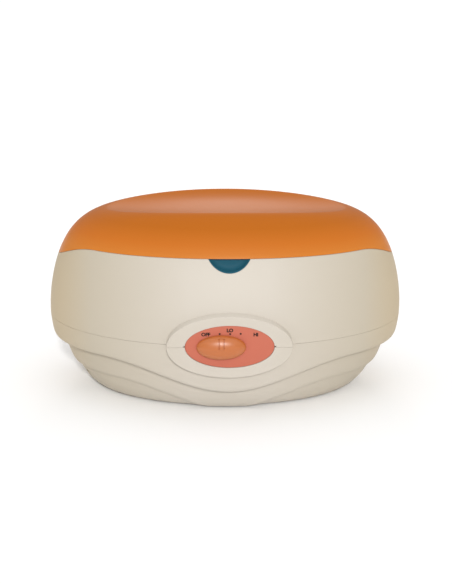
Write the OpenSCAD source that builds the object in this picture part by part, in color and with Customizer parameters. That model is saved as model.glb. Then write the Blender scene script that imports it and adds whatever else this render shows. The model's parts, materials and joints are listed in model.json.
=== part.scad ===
// Paraffin wax melter: an oval two-part casing round a drawn pan, with a lift-off lid
// and a three-position slide control. X is the width, the front faces -Y, Z is up.

/* [Casing form] */
// Overall width of the casing
body_w = 380; // [350:1:410]
// Overall depth of the casing
body_d = 240; // [220:1:260]
// Height of the lid's crest above the table
crest_z = 202.5; // [192:0.5:215]
// Height of the casing's widest ring
widest_z = 85; // [78:1:92]
// Width of the casing's form where it meets its floor, before the steps
base_w = 306; // [290:1:330]
// Roundness of the side contour above the widest ring
side_curve = 1.9; // [1.7:0.05:2.2]
// Roundness of the front contour above the widest ring
front_curve = 1.6; // [1.5:0.05:2]
// Roundness of the contour below the widest ring
lower_curve = 1.65; // [1.5:0.05:2]
// Thickness of the casing walls
wall = 2.6; // [2:0.1:3.2]
// Height of the casing's floor above the table
floor_z = 2; // [1.5:0.1:4]

/* [Seams] */
// Height of the rim under the lid, along its level stretch
rim_z = 164.5; // [163:0.5:170]
// Distance from each end of the casing over which the rim dips
rim_dip_w = 53; // [40:1:56]
// Radius of that dip
rim_dip_r = 56; // [56:1:80]
// Height of the seam between the upper and the lower casing
parting_z = 81; // [75:0.5:84]

/* [Steps] */
// How far the casing steps in under the first edge
step_in = 10.5; // [9:0.1:12]
// How much further it steps in under the second edge, at the sides
step_in2 = 4; // [2:0.1:5]
// Height of the first step's edge at the front
wave_low = 28; // [24:1:32]
// Rise of that edge from the front to the sides
wave_rise = 30.5; // [28:0.5:35]
// Half width over which the edge rises
wave_reach = 135; // [125:1:150]
// Drop from the first step's edge to the second's
wave_pitch = 29; // [24:1:30]
// How far a step's edge is rounded in
edge_round = 1.6; // [1:0.1:2]
// Height of that rounding
edge_round_h = 6; // [4:0.5:8]

/* [Lid] */
// Width of the crest ring on the lid
crest_w = 255; // [235:1:270]
// Depth of the crest ring, front to back
crest_d = 106; // [90:1:118]
// How much lower the crest lies at its ends
crest_sag = 7.5; // [4:0.5:10]
// Depth of the dish inside the crest
dish_depth = 8; // [5:0.5:12]
// Thickness of the lid
lid_wall = 2.5; // [2:0.1:3]
// Gap between the lid's edge and the rim
lid_gap = 0.3; // [0.2:0.05:0.5]
// Height of the locating lip under the rim
lip_h = 3; // [2:0.5:4]
// Thickness of the locating lip
lip_w = 2; // [1.6:0.1:2.4]
// Gap between the lip and the casing wall
lip_gap = 0.6; // [0.4:0.1:1]

/* [Finger lift] */
// Radius of the half-round finger recess
lift_r = 23.8; // [22:0.2:25]
// Height of its centre above the rim
lift_up = 10.9; // [9:0.1:12]
// Depth of the recess behind the casing's front, at the rim
lift_depth = 7; // [6:0.5:7]
// Wall of the insert that lines the recess
lift_wall = 1.8; // [1.4:0.1:2.2]
// Gap round that insert
lift_gap = 0.2; // [0.1:0.05:0.3]

/* [Pan] */
// Distance from the pan's mouth to the casing's widest ring at the ends
pan_in_x = 55; // [50:1:65]
// Distance from the pan's mouth to the casing's widest ring at the front and the back
pan_in_y = 47; // [46:1:52]
// How deep the pan is
pan_depth = 100; // [90:1:104]
// How much narrower each side is at the bottom
pan_taper = 7; // [4:0.5:10]
// Radius of the pan's bottom edge
pan_edge_r = 12; // [8:1:16]
// Thickness of the aluminium sheet
pan_sheet = 1.2; // [1:0.1:1.6]
// Width of the pan's flange
pan_flange = 12; // [9:0.5:14]
// Squareness of the pan's plan, where 2 is an ellipse
pan_square = 2.4; // [2.1:0.05:2.8]
// Height of the ledge that carries the pan
ledge_z = 160; // [156:0.5:163]
// Thickness of the gasket under the flange
gasket_h = 1.5; // [1:0.1:2.5]
// Gap between the pan's wall and the ledge
ledge_gap = 2.5; // [1.5:0.1:4]

/* [Guard grille] */
// Gap between the grille and the pan's wall
grille_gap = 6; // [4:0.5:10]
// Height of the grille
grille_h = 7; // [5:0.5:9]
// Width of the grille's bars
grille_bar = 4; // [3:0.5:6]
// Spacing of the grille's bars
grille_pitch = 18; // [14:1:24]

/* [Control] */
// Width of the oval control boss
boss_w = 126.5; // [120:0.5:135]
// Height of the oval control boss
boss_h = 66.5; // [62:0.5:72]
// Height of the boss's centre
boss_z = 81.5; // [78:0.5:86]
// How far the boss's flat face stands in front of the casing's widest ring
boss_proud = 2; // [1:0.5:5]
// Thickness of the boss's walls
boss_wall = 2.4; // [2:0.1:3]
// Width of the oval dial plate
plate_w = 89.5; // [84:0.5:96]
// Height of the oval dial plate
plate_h = 44.5; // [40:0.5:50]
// How far the dial plate's face lies behind the boss's face
plate_inset = 0.3; // [0:0.1:1]
// Width of the slider's cap
knob_w = 49.5; // [45:0.5:55]
// Height of the slider's cap
knob_h = 25; // [22:0.5:28]
// How far the cap stands out
knob_rise = 11; // [8:0.5:14]
// Travel of the slider from off to high
knob_travel = 17; // [14:0.5:19]
// Width of the stem behind the cap
stem_w = 8; // [6:0.5:10]
// Height of the stem
stem_h = 6; // [4:0.5:8]
// Gap round sliding pieces
slide_gap = 0.3; // [0.2:0.05:0.5]

/* [Heating] */
// Diameter of the sheathed heating element
element_d = 7; // [6:0.1:8.5]
// Distance between the element's two legs
element_pitch = 60; // [50:1:66]
// Distance from the pan's mouth to the ends of the element's straight legs
element_in = 50; // [46:1:60]
// Diameter of a thermostat's body
thermostat_d = 15.5; // [14:0.5:18]
// Height of a thermostat's body
thermostat_h = 8; // [7:0.5:9]
// Spacing of the two thermostats
thermostat_pitch = 36; // [30:1:44]
// Thickness of the insulation round the pan
wrap_t = 4; // [3:0.5:5]

/* [Support tray] */
// Gap between the tray and the heater's clamp bars
tray_gap = 5.2; // [4.2:0.2:8]
// Thickness of the tray's steel sheet
tray_t = 1.2; // [1:0.1:1.6]
// How far the tray reaches past the hold-down studs
tray_edge = 10; // [8:1:14]
// Distance from the pan's mouth to the hold-down studs along the width
stud_in_x = 35; // [32:1:42]
// Distance from the pan's mouth to the hold-down studs along the depth
stud_in_y = 38; // [35:1:42]
// Diameter of the hold-down studs
stud_d = 5; // [4:0.5:6]
// Spacing of the two clamp bars along the width
clamp_x = 90; // [70:5:120]

/* [Fasteners and feet] */
// Distance from the casing's widest ring to the casing screws at the ends
case_in = 43; // [40:1:48]
// Spacing of the casing screws along the depth
case_y = 56; // [50:1:62]
// Diameter of the casing screws
case_screw_d = 4; // [3.5:0.1:4.5]
// Diameter of the small screws
small_screw_d = 3; // [2.5:0.1:3.5]
// Diameter of a rubber foot
foot_d = 16; // [12:0.5:20]
// Spacing of the feet along the width
foot_x = 170; // [150:1:180]
// Spacing of the feet along the depth
foot_y = 84; // [70:1:90]

/* [Mains inlet] */
// Height of the inlet's centre
inlet_z = 47; // [44:0.5:50]
// How far the inlet's pad lies inside the casing's widest ring
inlet_in = 2; // [0:0.5:3]
// Width of the inlet's body
inlet_w = 27; // [24:0.5:30]
// Height of the inlet's body
inlet_h = 20; // [18:0.5:22]
// Spacing of the inlet's two screws
inlet_pitch = 40; // [38:0.5:44]

/* [Hidden] */
$fn = 48;

// Number of sides round the oval forms
sides = 60;
angles = [for (k = [0 : sides - 1]) 360 * k / sides];
eps = 0.01;

// Mixing, clamping and the quarter curve that shapes the casing
function mix(a, b, t) = a + (b - a) * t;
function clamp01(t) = max(0, min(1, t));
function bulge(t, power) = pow(max(0, 1 - pow(t, power)), 1 / power);

// Half width and half depth of the casing's form at height z
function above(z) = clamp01((z - widest_z) / (crest_z - widest_z));
function below(z) = clamp01((widest_z - z) / (widest_z - floor_z));
function half_w(z) = z > widest_z
    ? mix(crest_w, body_w, bulge(above(z), side_curve)) / 2
    : mix(base_w, body_w, bulge(below(z), lower_curve)) / 2;
function half_d(z) = z > widest_z
    ? mix(crest_d, body_d, bulge(above(z), front_curve)) / 2
    : half_w(z) * body_d / body_w;

// A ring on the casing's form: its height may vary with the angle, in free_ring its inset too
function free_ring(height, inset, look = 0) = [for (a = angles)
    let (z = height(a), x = (half_w(z + look) - inset(a)) * cos(a))
        [x, (half_d(z + look) - inset(a)) * sin(a), z - crest_drop(x, z)]];
function ring(height, inset = 0, look = 0) = free_ring(height, function(a) inset, look);
function crest_drop(x, z) = crest_sag * pow(2 * x / crest_w, 2) * pow(above(z), 5);

// A level ring of given half sizes, squarer than an ellipse where power is over 2
function oval(hw, hd, z, power = 2) = [for (a = angles)
    let (c = cos(a), s = sin(a), k = pow(pow(abs(c), power) + pow(abs(s), power), -1 / power))
        [hw * k * c, hd * k * s, z]];

// Height of the rim under the lid, dipping at both ends
function rim_dip(x) = rim_dip_r
    - sqrt(pow(rim_dip_r, 2) - pow(max(0, x - body_w / 2 + rim_dip_w), 2));
function rim(a) = let (c = abs(cos(a)), near = rim_z - rim_dip(half_w(rim_z) * c))
    rim_z - rim_dip(half_w(near) * c);

// Back of the finger recess, as a distance in front of the middle plane
lift_back = half_d(rim_z) - lift_depth;

// Heights of the two wavy step edges, and how the second step fades out towards the front
function wave(a) = let (x = min(wave_reach, body_w / 2 * abs(cos(a))))
    wave_low + wave_rise * pow(sin(90 * x / wave_reach), 2);
function wave2(a) = max(floor_z + 0.8, wave(a) - wave_pitch);
function fade(a) = max(0.04, clamp01((wave(a) - wave_pitch - floor_z) / edge_round_h));

// Outlines of the pan, the ledge that carries it and the flange
pan_w = body_w - 2 * pan_in_x;
pan_d = body_d - 2 * pan_in_y;
pan_top = ledge_z + gasket_h + pan_sheet;
pan_floor = pan_top - pan_depth;
pan_under = pan_floor - pan_sheet;
ledge_in = pan_sheet + ledge_gap;
ledge_out = pan_flange + 2;
web_drop = 7;

// Planes of the control, counted as distances in front of the middle plane
boss_y = body_d / 2 + boss_proud;
face_back = boss_y - boss_wall;
plate_front = boss_y - plate_inset;
flange_t = 1.4;
flange_back = face_back - flange_t;
carriage_t = 3;
carriage_front = flange_back - slide_gap;
carriage_back = carriage_front - carriage_t;
carriage_w = 44;
carriage_h = 20;
rail_len = carriage_w + 16;
rail_t = 2;
spring_room = 1.4;
spring_t = 0.4;
spring_bump = 1.4;
notch_d = 2;
switch_w = 50;
switch_h = 16;
switch_d = 12.5;
switch_front = carriage_back - slide_gap;
switch_back = switch_front - switch_d;
lever_w = 5;
lever_h = 4;
lever_len = 7;
bracket_t = 1.2;
bracket_h = 26;
bracket_edge = 5;
tag_t = 0.8;
tag_h = 5;
tag_len = 6;
tag_pitch = 10;
switch_tag = switch_back - bracket_t - tag_len;
post_d = 7;
plate_post_x = 38;
shell_post_x = 53.5;
shell_post_z = parting_z - 8;
knob_off = -knob_travel / 2;

// Small screws, their heads and the depth of their holes
small_head_d = 5.5;
small_head_h = 2;
small_bite = 10;
tap_depth = small_bite + 2;
pass_gap = 0.2;
thread_gap = 0.05;

// Casing screws and their posts
case_x = body_w - 2 * case_in;
case_head_d = 7;
case_head_h = 2.5;
pillar_d = 10;
pillar_h = 30;
rib_t = 2.4;
post_bore = 8;
post_top = parting_z - tray_t;
head_seat = 66;
screw_reach = 16;

// Mains inlet
inlet_y = body_d / 2 - inlet_in;
pad_w = 60;
pad_h = 30;
pad_wall = 2.4;
pad_deep = 14;
inlet_flange_w = 50;
inlet_flange_h = 24;
inlet_flange_t = 2;
inlet_len = 24;
socket_depth = 16;
socket_wall = 1.8;
pin_x = 7;
pin_low = -1.5;
pin_high = 2.5;
pin_len = 7;
pin_tail = 7;
pin_back = inlet_y - inlet_len - pin_tail;

// Terminal block on the casing's floor
block_x = 52;
block_y = 34;
block_w = 36;
block_d = 18;
block_h = 14;
block_screw_x = 13;
block_up = 3;
floor_top = floor_z + wall;

// Vents in the casing's floor
vent_w = 3;
vent_len = 40;
vent_pitch = 9;

// How deep the feet sit in the floor
foot_seat = 1.2;

// The origin is the middle of the whole footprint, so the casing's middle plane lies behind it
middle_y = (boss_y + knob_rise - inlet_y - inlet_flange_t - small_head_h) / 2;
module place() {
    translate([0, middle_y, 0]) children();
}

// Closes a stack of rings into a solid. The rings run clockwise round the section. With caps the
// first and the last one close on their own centre, and without them the last joins the first.
module ring_solid(rings, caps) {
    count = len(rings);
    points = [for (r = rings, p = r) p];
    centres = [for (r = [rings[0], rings[count - 1]])
        [0, 0, r[floor(sides / 4)][2]]];
    bands = [for (i = [0 : count - (caps ? 2 : 1)], k = [0 : sides - 1], half = [0, 1])
        let (j = (i + 1) % count, n = (k + 1) % sides, p = i * sides, q = j * sides)
            half == 0 ? [p + k, p + n, q + n] : [p + k, q + n, q + k]];
    first = count * sides;
    tips = [for (k = [0 : sides - 1], end = [0, 1])
        let (n = (k + 1) % sides, last = (count - 1) * sides)
            end == 0 ? [first, n, k] : [first + 1, last + k, last + n]];
    polyhedron(points = caps ? concat(points, centres) : points,
               faces = caps ? concat(bands, tips) : bands);
}

// An upright oval prism whose face looks to the front, from y = -near back to y = -far
module front_oval(w, h, near, far) {
    translate([0, -far, boss_z]) rotate([90, 0, 0]) linear_extrude(near - far)
        polygon([for (a = angles) [w / 2 * cos(a), h / 2 * sin(a)]]);
}

// A box given by its centre in X and Z and its two distances in front of the middle plane
module front_box(w, h, near, far, x = 0, z = boss_z) {
    translate([x - w / 2, -near, z - h / 2]) cube([w, near - far, h]);
}

// A round rod along Y between two distances in front of the middle plane
module front_rod(d, near, far, x, z) {
    translate([x, -far, z]) rotate([90, 0, 0]) cylinder(h = near - far, d = d);
}

// Copies its children to both sides, or to all four corners, of a spacing
module both_sides(w) {
    for (s = [-1, 1]) translate([s * w / 2, 0, 0]) children();
}
module corners(w, d) {
    for (s = [-1, 1], t = [-1, 1]) translate([s * w / 2, t * d / 2, 0]) children();
}

// Rings of the casing's outer form below the seam, from the seam down
round_steps = [1, 0.45, 0.13, 0];
function rounding(t) = edge_round * (1 - sqrt(1 - pow(1 - t, 2)));
function lower_rings(inset = 0) = concat(
    [ring(function(a) parting_z, inset),
     ring(function(a) mix(wave(a) + edge_round_h, parting_z, 0.5), inset)],
    [for (t = round_steps) ring(function(a) wave(a) + edge_round_h * t, inset + rounding(t))],
    [ring(function(a) wave(a), inset + step_in),
     ring(function(a) mix(wave(a), wave2(a) + edge_round_h * fade(a), 0.5), inset + step_in)],
    [for (t = round_steps) free_ring(function(a) wave2(a) + edge_round_h * t * fade(a),
                                     function(a) inset + step_in + rounding(t) * fade(a))],
    [for (t = [1, 0.5, 0.2, 0.06, 0]) free_ring(function(a) mix(floor_z, wave2(a), t),
                                                function(a) inset + foot_in(a))]);
function foot_in(a) = step_in + step_in2 * fade(a);
function lower_hollow() = [
    free_ring(function(a) floor_top, function(a) wall + foot_in(a), -wall),
    free_ring(function(a) max(wave2(a) + 4, floor_top + 2), function(a) wall + foot_in(a), -wall),
    ring(function(a) max(wave2(a) + edge_round_h + 2, floor_top + 4), wall + step_in, -wall),
    ring(function(a) wave(a) + 4, wall + step_in, -wall),
    ring(function(a) wave(a) + edge_round_h + 2, wall, -wall),
    ring(function(a) parting_z, wall)];

// Rings of the casing above the seam
function upper_rings(inset = 0) = [for (t = [1, 0.8, 0.6, 0.4, 0.2, 0])
    ring(function(a) mix(parting_z, rim(a), t), inset)];
function ledge_ring(grow, z) = oval(pan_w / 2 + grow, pan_d / 2 + grow, z, pan_square);

// Planes of the heater under the pan, and the tray below it
element_len = pan_w - 2 * element_in;
stud_x = pan_w - 2 * stud_in_x;
stud_y = pan_d - 2 * stud_in_y;
tray_d = stud_y + 2 * tray_edge;
element_z = pan_under - element_d / 2 - 0.1;
clamp_t = 1.2;
clamp_w = 14;
clamp_stud_d = 4;
clamp_under = element_z - element_d / 2 - clamp_t;
leg_y = element_pitch / 2;
cold_pin = 12;
cold_pin_x = -element_len / 2 - cold_pin;
tray_z = clamp_under - tray_gap;
nut_h = 4;
stud_end = tray_z - tray_t - nut_h - 4.8;

// The boss round the control, as one solid and as the space inside it
module boss_block() {
    front_oval(boss_w, boss_h, boss_y, switch_back);
}
module boss_space() {
    front_oval(boss_w - 2 * boss_wall, boss_h - 2 * boss_wall, face_back, switch_back - eps);
    front_oval(plate_w + 0.4, plate_h + 0.4, boss_y + 1, face_back - eps);
}
module above_seam() {
    translate([-body_w, -body_d, parting_z]) cube([2 * body_w, 2 * body_d, crest_z]);
}
module below_seam() {
    translate([-body_w, -body_d, parting_z - crest_z]) cube([2 * body_w, 2 * body_d, crest_z]);
}

module upper_shell() {
    color("antiquewhite") difference() {
        union() {
            ring_solid(concat(
                [ledge_ring(ledge_in, ledge_z), ledge_ring(ledge_out, ledge_z),
                 ring(function(a) rim(a) - web_drop, wall), ring(function(a) rim(a), wall)],
                upper_rings(),
                [for (t = [0, 0.3, 0.6, 1])
                    ring(function(a) mix(parting_z, rim(a) - web_drop - 1.5 * wall, t), wall)],
                [ledge_ring(ledge_out, ledge_z - wall), ledge_ring(ledge_in, ledge_z - wall)]),
                false);
            intersection() {
                boss_block();
                above_seam();
            }
            corners(case_x, case_y) translate([0, 0, parting_z])
                cylinder(h = pillar_h, d = pillar_d);
            intersection() {
                ring_solid(upper_rings(wall / 2), true);
                for (s = [-1, 1], t = [-1, 1])
                    translate([s * case_x / 2 + (s < 0 ? -body_w : 0), (t * case_y - rib_t) / 2,
                               parting_z + eps]) cube([body_w, rib_t, pillar_h - 4]);
            }
        }
        boss_space();
        front_rod(2 * lift_r, body_d, lift_back, 0, rim_z + lift_up);
        corners(case_x, case_y) translate([0, 0, parting_z - eps])
            cylinder(h = screw_reach + 2, d = case_screw_d + 2 * thread_gap);
    }
}

module lower_shell() {
    color("antiquewhite") difference() {
        union() {
            ring_solid(concat(lower_hollow(), lower_rings()), true);
            intersection() {
                union() {
                    boss_block();
                    for (s = [-1, 1])
                        front_rod(post_d, face_back + eps, switch_back, s * shell_post_x,
                                  shell_post_z);
                }
                below_seam();
            }
            intersection() {
                ring_solid(lower_rings(wall / 2), true);
                corners(case_x, case_y) cylinder(h = post_top, d = pillar_d + 2);
            }
            translate([0, inlet_y - pad_deep, inlet_z]) inlet_pad(pad_w, pad_h, pad_deep);
            for (s = [-1, 1]) translate([block_x + s * block_screw_x, block_y, floor_top - eps])
                cylinder(h = block_up + eps, d = 7);
        }
        difference() {
            boss_space();
            for (s = [-1, 1])
                front_rod(post_d, face_back + eps, switch_back, s * shell_post_x, shell_post_z);
        }
        for (s = [-1, 1])
            front_rod(small_screw_d + 2 * thread_gap, switch_back + tap_depth, switch_back - 1,
                      s * shell_post_x, shell_post_z);
        corners(case_x, case_y) {
            translate([0, 0, -1]) cylinder(h = head_seat + 1, d = post_bore);
            cylinder(h = parting_z, d = case_screw_d + 2 * pass_gap);
        }
        translate([0, inlet_y - 2 * pad_deep, inlet_z])
            inlet_pad(pad_w - 2 * pad_wall, pad_h - 2 * pad_wall, 2 * pad_deep - pad_wall);
        translate([0, inlet_y - 2 * pad_deep, inlet_z]) rotate([-90, 0, 0])
            linear_extrude(3 * pad_deep)
                square([inlet_w + 2 * pass_gap, inlet_h + 2 * pass_gap], center = true);
        both_sides(inlet_pitch) translate([0, inlet_y + 1, inlet_z]) rotate([90, 0, 0])
            cylinder(h = tap_depth + 1, d = small_screw_d + 2 * thread_gap);
        corners(foot_x, foot_y) cylinder(h = floor_z + foot_seat, d = foot_d + 2 * pass_gap);
        for (s = [-1, 1]) translate([block_x + s * block_screw_x, block_y, floor_top])
            cylinder(h = block_h, d = small_screw_d + 2 * thread_gap);
        for (k = [-4 : 4]) translate([k * vent_pitch - vent_w / 2, -vent_len / 2, 0])
            cube([vent_w, vent_len, floor_top + 1]);
    }
}

// A rounded pad that stands out to the back
module inlet_pad(w, h, t) {
    r = 5;
    rotate([-90, 0, 0]) linear_extrude(t) {
        square([w - 2 * r, h], center = true);
        square([w, h - 2 * r], center = true);
        for (s = [-1, 1], u = [-1, 1]) translate([s * (w / 2 - r), u * (h / 2 - r)]) circle(r = r);
    }
}

module lid() {
    dish = [for (t = [0.3, 0.6, 0.82, 0.94])
        [for (a = angles) [crest_w / 2 * t * cos(a), crest_d / 2 * t * sin(a),
            crest_z - crest_drop(crest_w / 2 * t * cos(a), crest_z)
            - dish_depth * (1 - pow(t, 3))]]];
    levels = [1, 0.99, 0.95, 0.87, 0.75, 0.58, 0.38, 0.18, 0];
    base = function(a) rim(a) + lid_gap;
    outside = [for (t = levels) ring(function(a) mix(base(a), crest_z, t))];
    inside = [for (t = [0.18, 0.38, 0.58, 0.75, 0.87, 0.95])
        [for (p = ring(function(a) mix(base(a), crest_z, t), lid_wall)) p - [0, 0, lid_wall * t]]];
    under = [for (r = [dish[3], dish[2], dish[1], dish[0]]) [for (p = r) p - [0, 0, lid_wall]]];
    lip_out = wall + lip_gap;
    color("peru") difference() {
        ring_solid(concat(dish, outside,
            [ring(base, lip_out), ring(function(a) rim(a) - lip_h, lip_out, lip_h),
             ring(function(a) rim(a) - lip_h, lip_out + lip_w, lip_h),
             ring(function(a) rim(a) + 2, lip_out + lip_w)],
            inside, under), true);
        translate([-lift_r - lip_w, -body_d, rim_z - 2 * lip_h])
            cube([2 * (lift_r + lip_w), body_d - half_d(rim_z) + lip_out + 2 * lip_w,
                  2 * lip_h + lid_gap]);
    }
}

module finger_insert() {
    color("teal") intersection() {
        ring_solid(upper_rings(lift_gap), true);
        translate([-body_w / 2, -body_d, 0]) cube([body_w, body_d, rim_z - lift_gap]);
        difference() {
            front_rod(2 * (lift_r - lift_gap), body_d, lift_back + lift_gap, 0, rim_z + lift_up);
            front_rod(2 * (lift_r - lift_wall), body_d, lift_back + lift_gap + lift_wall, 0,
                      rim_z + lift_up);
        }
    }
}

module dial_plate() {
    color("salmon") difference() {
        union() {
            front_oval(plate_w, plate_h, plate_front, face_back - eps);
            front_oval(plate_w + 6, plate_h + 6, face_back, flange_back);
            for (s = [-1, 1]) {
                front_rod(post_d, flange_back + eps, switch_back, s * plate_post_x, boss_z);
                front_box(rail_len, rail_t, flange_back + eps, carriage_back, 0,
                          boss_z + s * (carriage_h / 2 + slide_gap + rail_t / 2)
                          + (s > 0 ? spring_room : 0));
            }
        }
        front_box(knob_travel + stem_w + 2 * slide_gap, stem_h + 2 * slide_gap, boss_y + 1,
                  flange_back - 1);
        for (s = [-1, 1])
            front_rod(small_screw_d + 2 * thread_gap, switch_back + tap_depth, switch_back - 1,
                      s * plate_post_x, boss_z);
    }
}

// The slider's cap is a low dome with a grip ridge between two grooves
module slider_knob() {
    cap_back = plate_front + slide_gap;
    dome = [for (t = [0.15, 0.4, 0.62, 0.8, 0.93, 1])
        oval(knob_w / 2 * t, knob_h / 2 * t, 2 + (knob_rise - 2) * sqrt(1 - t * t * 0.98))];
    color("chocolate") translate([knob_off, 0, 0]) difference() {
        union() {
            translate([0, -cap_back, boss_z]) rotate([90, 0, 0])
                ring_solid(concat(dome, [oval(knob_w / 2, knob_h / 2, 0)]), true);
            front_box(stem_w, stem_h, cap_back + eps, carriage_back);
        }
        for (s = [-1, 1]) front_box(1, knob_h, cap_back + knob_rise + 1,
                                    cap_back + knob_rise - 1.4, s * 2.8);
    }
}

module slider_carriage() {
    color("white") translate([knob_off, 0, 0]) difference() {
        front_box(carriage_w, carriage_h, carriage_front, carriage_back);
        front_box(stem_w, stem_h, carriage_front + 1, carriage_back - 1);
        for (k = [-1 : 1]) front_rod(notch_d, carriage_front + 1, carriage_back - 1,
                                     k * knob_travel / 2 - knob_off, boss_z + carriage_h / 2);
    }
}

module switch_lever() {
    color("black") translate([knob_off, 0, 0])
        front_box(lever_w, lever_h, carriage_back, carriage_back - lever_len, 0);
}

module slide_switch() {
    color("dimgray") {
        difference() {
            front_box(switch_w, switch_h, switch_front, switch_back);
            front_box(knob_travel + lever_w + 2 * slide_gap, lever_h + 2 * slide_gap,
                      switch_front + 1, carriage_back - lever_len - slide_gap);
        }
    }
    color("gold") for (k = [-1.5 : 1.5])
        front_box(tag_t, tag_h, switch_back, switch_tag, k * tag_pitch);
}

module detent_spring() {
    top = boss_z + carriage_h / 2 + slide_gap + spring_room;
    color("silver") {
        front_box(26, spring_t, carriage_front, carriage_back, 0, top - spring_t / 2);
        front_rod(spring_bump, carriage_front, carriage_back, 0,
                  top - spring_t - spring_bump / 2 + slide_gap);
    }
}

module switch_bracket() {
    color("silver") difference() {
        union() {
            front_box(2 * (plate_post_x + bracket_edge), bracket_h, switch_back,
                      switch_back - bracket_t);
            front_box(2 * (shell_post_x + bracket_edge), 2 * bracket_edge, switch_back,
                      switch_back - bracket_t, 0, shell_post_z);
        }
        front_box(3 * tag_pitch + tag_h, tag_h + 3, switch_back + 1,
                  switch_back - bracket_t - 1);
        for (s = [-1, 1]) {
            front_rod(small_screw_d + 2 * pass_gap, switch_back + 1,
                      switch_back - bracket_t - 1, s * plate_post_x, boss_z);
            front_rod(small_screw_d + 2 * pass_gap, switch_back + 1,
                      switch_back - bracket_t - 1, s * shell_post_x, shell_post_z);
        }
    }
}

// The drawn pan, with its welded studs
function pan_ring(grow, z) = let (t = clamp01((pan_top - z) / pan_depth))
    oval(pan_w / 2 - pan_taper * t + grow, pan_d / 2 - pan_taper * t + grow, z, pan_square);
module pan() {
    bends = [for (t = [0 : 3]) 30 * t];
    inner_edge = [for (b = bends) pan_ring(-pan_edge_r * (1 - sin(b)),
                                           pan_floor + pan_edge_r * (1 - cos(b)))];
    outer_edge = [for (b = bends) pan_ring(pan_sheet - pan_edge_r * (1 - sin(90 - b)),
                                           pan_under + pan_edge_r * (1 - cos(90 - b)))];
    color("silver") union() {
        ring_solid(concat(inner_edge,
            [pan_ring(0, pan_top - 2), pan_ring(1.5, pan_top),
             pan_ring(pan_flange, pan_top), pan_ring(pan_flange, pan_top - pan_sheet),
             pan_ring(pan_sheet + 1, pan_top - pan_sheet), pan_ring(pan_sheet, pan_top - 4)],
            outer_edge), true);
        corners(stud_x, stud_y) translate([0, 0, stud_end])
            cylinder(h = pan_under - stud_end + pan_sheet / 2, d = stud_d);
        both_sides(clamp_x) translate([0, 0, clamp_under - 4])
            cylinder(h = pan_under - clamp_under + 4 + pan_sheet / 2, d = clamp_stud_d);
    }
}

module pan_gasket() {
    color("gray") ring_solid([ledge_ring(ledge_in + 1, ledge_z + gasket_h),
        ledge_ring(pan_flange - 1, ledge_z + gasket_h), ledge_ring(pan_flange - 1, ledge_z),
        ledge_ring(ledge_in + 1, ledge_z)], false);
}

// A plastic grate that keeps hands and feet off the hot pan floor
module guard_grille() {
    hw = pan_w / 2 - pan_taper - pan_edge_r - grille_gap;
    hd = pan_d / 2 - pan_taper - pan_edge_r - grille_gap;
    bar_h = 3;
    outline = [for (p = oval(hw, hd, 0, pan_square)) [p[0], p[1]]];
    inline = [for (p = oval(hw - grille_bar, hd - grille_bar, 0, pan_square)) [p[0], p[1]]];
    color("ivory") translate([0, 0, pan_floor]) {
        linear_extrude(grille_h) difference() {
            polygon(outline);
            polygon(inline);
        }
        translate([0, 0, grille_h - bar_h]) linear_extrude(bar_h) intersection() {
            polygon(outline);
            union() {
                for (k = [-ceil(hw / grille_pitch) : ceil(hw / grille_pitch)])
                    translate([k * grille_pitch - grille_bar / 2, -hd])
                        square([grille_bar, 2 * hd]);
                for (k = [-1 : 1]) translate([-hw, k * hd / 2 - grille_bar / 2])
                    square([2 * hw, grille_bar]);
            }
        }
    }
}

module insulation_wrap() {
    gap = pan_sheet + 0.3;
    low = parting_z + 4;
    high = ledge_z - wall - 4;
    color("lightyellow") ring_solid([pan_ring(gap, high), pan_ring(gap + wrap_t, high),
        pan_ring(gap + wrap_t, low), pan_ring(gap, low)], false);
}

// The heating element lies against the pan's floor in one long U
module heating_element() {
    color("dimgray") translate([0, 0, element_z]) {
        for (s = [-1, 1]) translate([-element_len / 2, s * leg_y, 0])
            rotate([0, 90, 0]) cylinder(h = element_len, d = element_d);
        translate([element_len / 2, 0, 0]) rotate([0, 0, -90]) rotate_extrude(angle = 180)
            translate([leg_y, 0]) circle(d = element_d);
    }
    color("gold") for (s = [-1, 1])
        translate([cold_pin_x, s * leg_y, element_z]) rotate([0, 90, 0])
            cylinder(h = cold_pin, d = 3);
}

module clamp_bars() {
    color("silver") both_sides(clamp_x) difference() {
        translate([-clamp_w / 2, -leg_y - element_d, clamp_under])
            cube([clamp_w, element_pitch + 2 * element_d, clamp_t]);
        translate([0, 0, clamp_under - 1])
            cylinder(h = clamp_t + 2, d = clamp_stud_d + 2 * pass_gap);
    }
}

module hex_nut(flats, h, bore) {
    difference() {
        cylinder(h = h, d = flats / cos(30), $fn = 6);
        translate([0, 0, -1]) cylinder(h = h + 2, d = bore + 2 * thread_gap, $fn = 48);
    }
}
module clamp_nuts() {
    color("silver") both_sides(clamp_x) translate([0, 0, clamp_under - 3])
        hex_nut(7, 3, clamp_stud_d);
}
module hold_down_nuts() {
    color("silver") corners(stud_x, stud_y) translate([0, 0, tray_z - tray_t - nut_h])
        hex_nut(8, nut_h, stud_d);
}

// A bimetal disc thermostat, with two blades below
blade_pitch = 8;
blade_len = 8;
blade_w = 6;
blade_z = pan_under - thermostat_h - blade_len;
blade_x = [for (s = [-1, 1]) (thermostat_pitch + s * blade_pitch) / 2];
module thermostat() {
    color("black") translate([0, 0, pan_under - thermostat_h])
        cylinder(h = thermostat_h, d = thermostat_d);
    color("gold") both_sides(blade_pitch) translate([-0.4, -blade_w / 2, blade_z])
        cube([0.8, blade_w, blade_len]);
}
module thermostat_low() {
    translate([-thermostat_pitch / 2, 0, 0]) thermostat();
}
module thermostat_high() {
    translate([thermostat_pitch / 2, 0, 0]) thermostat();
}

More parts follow.
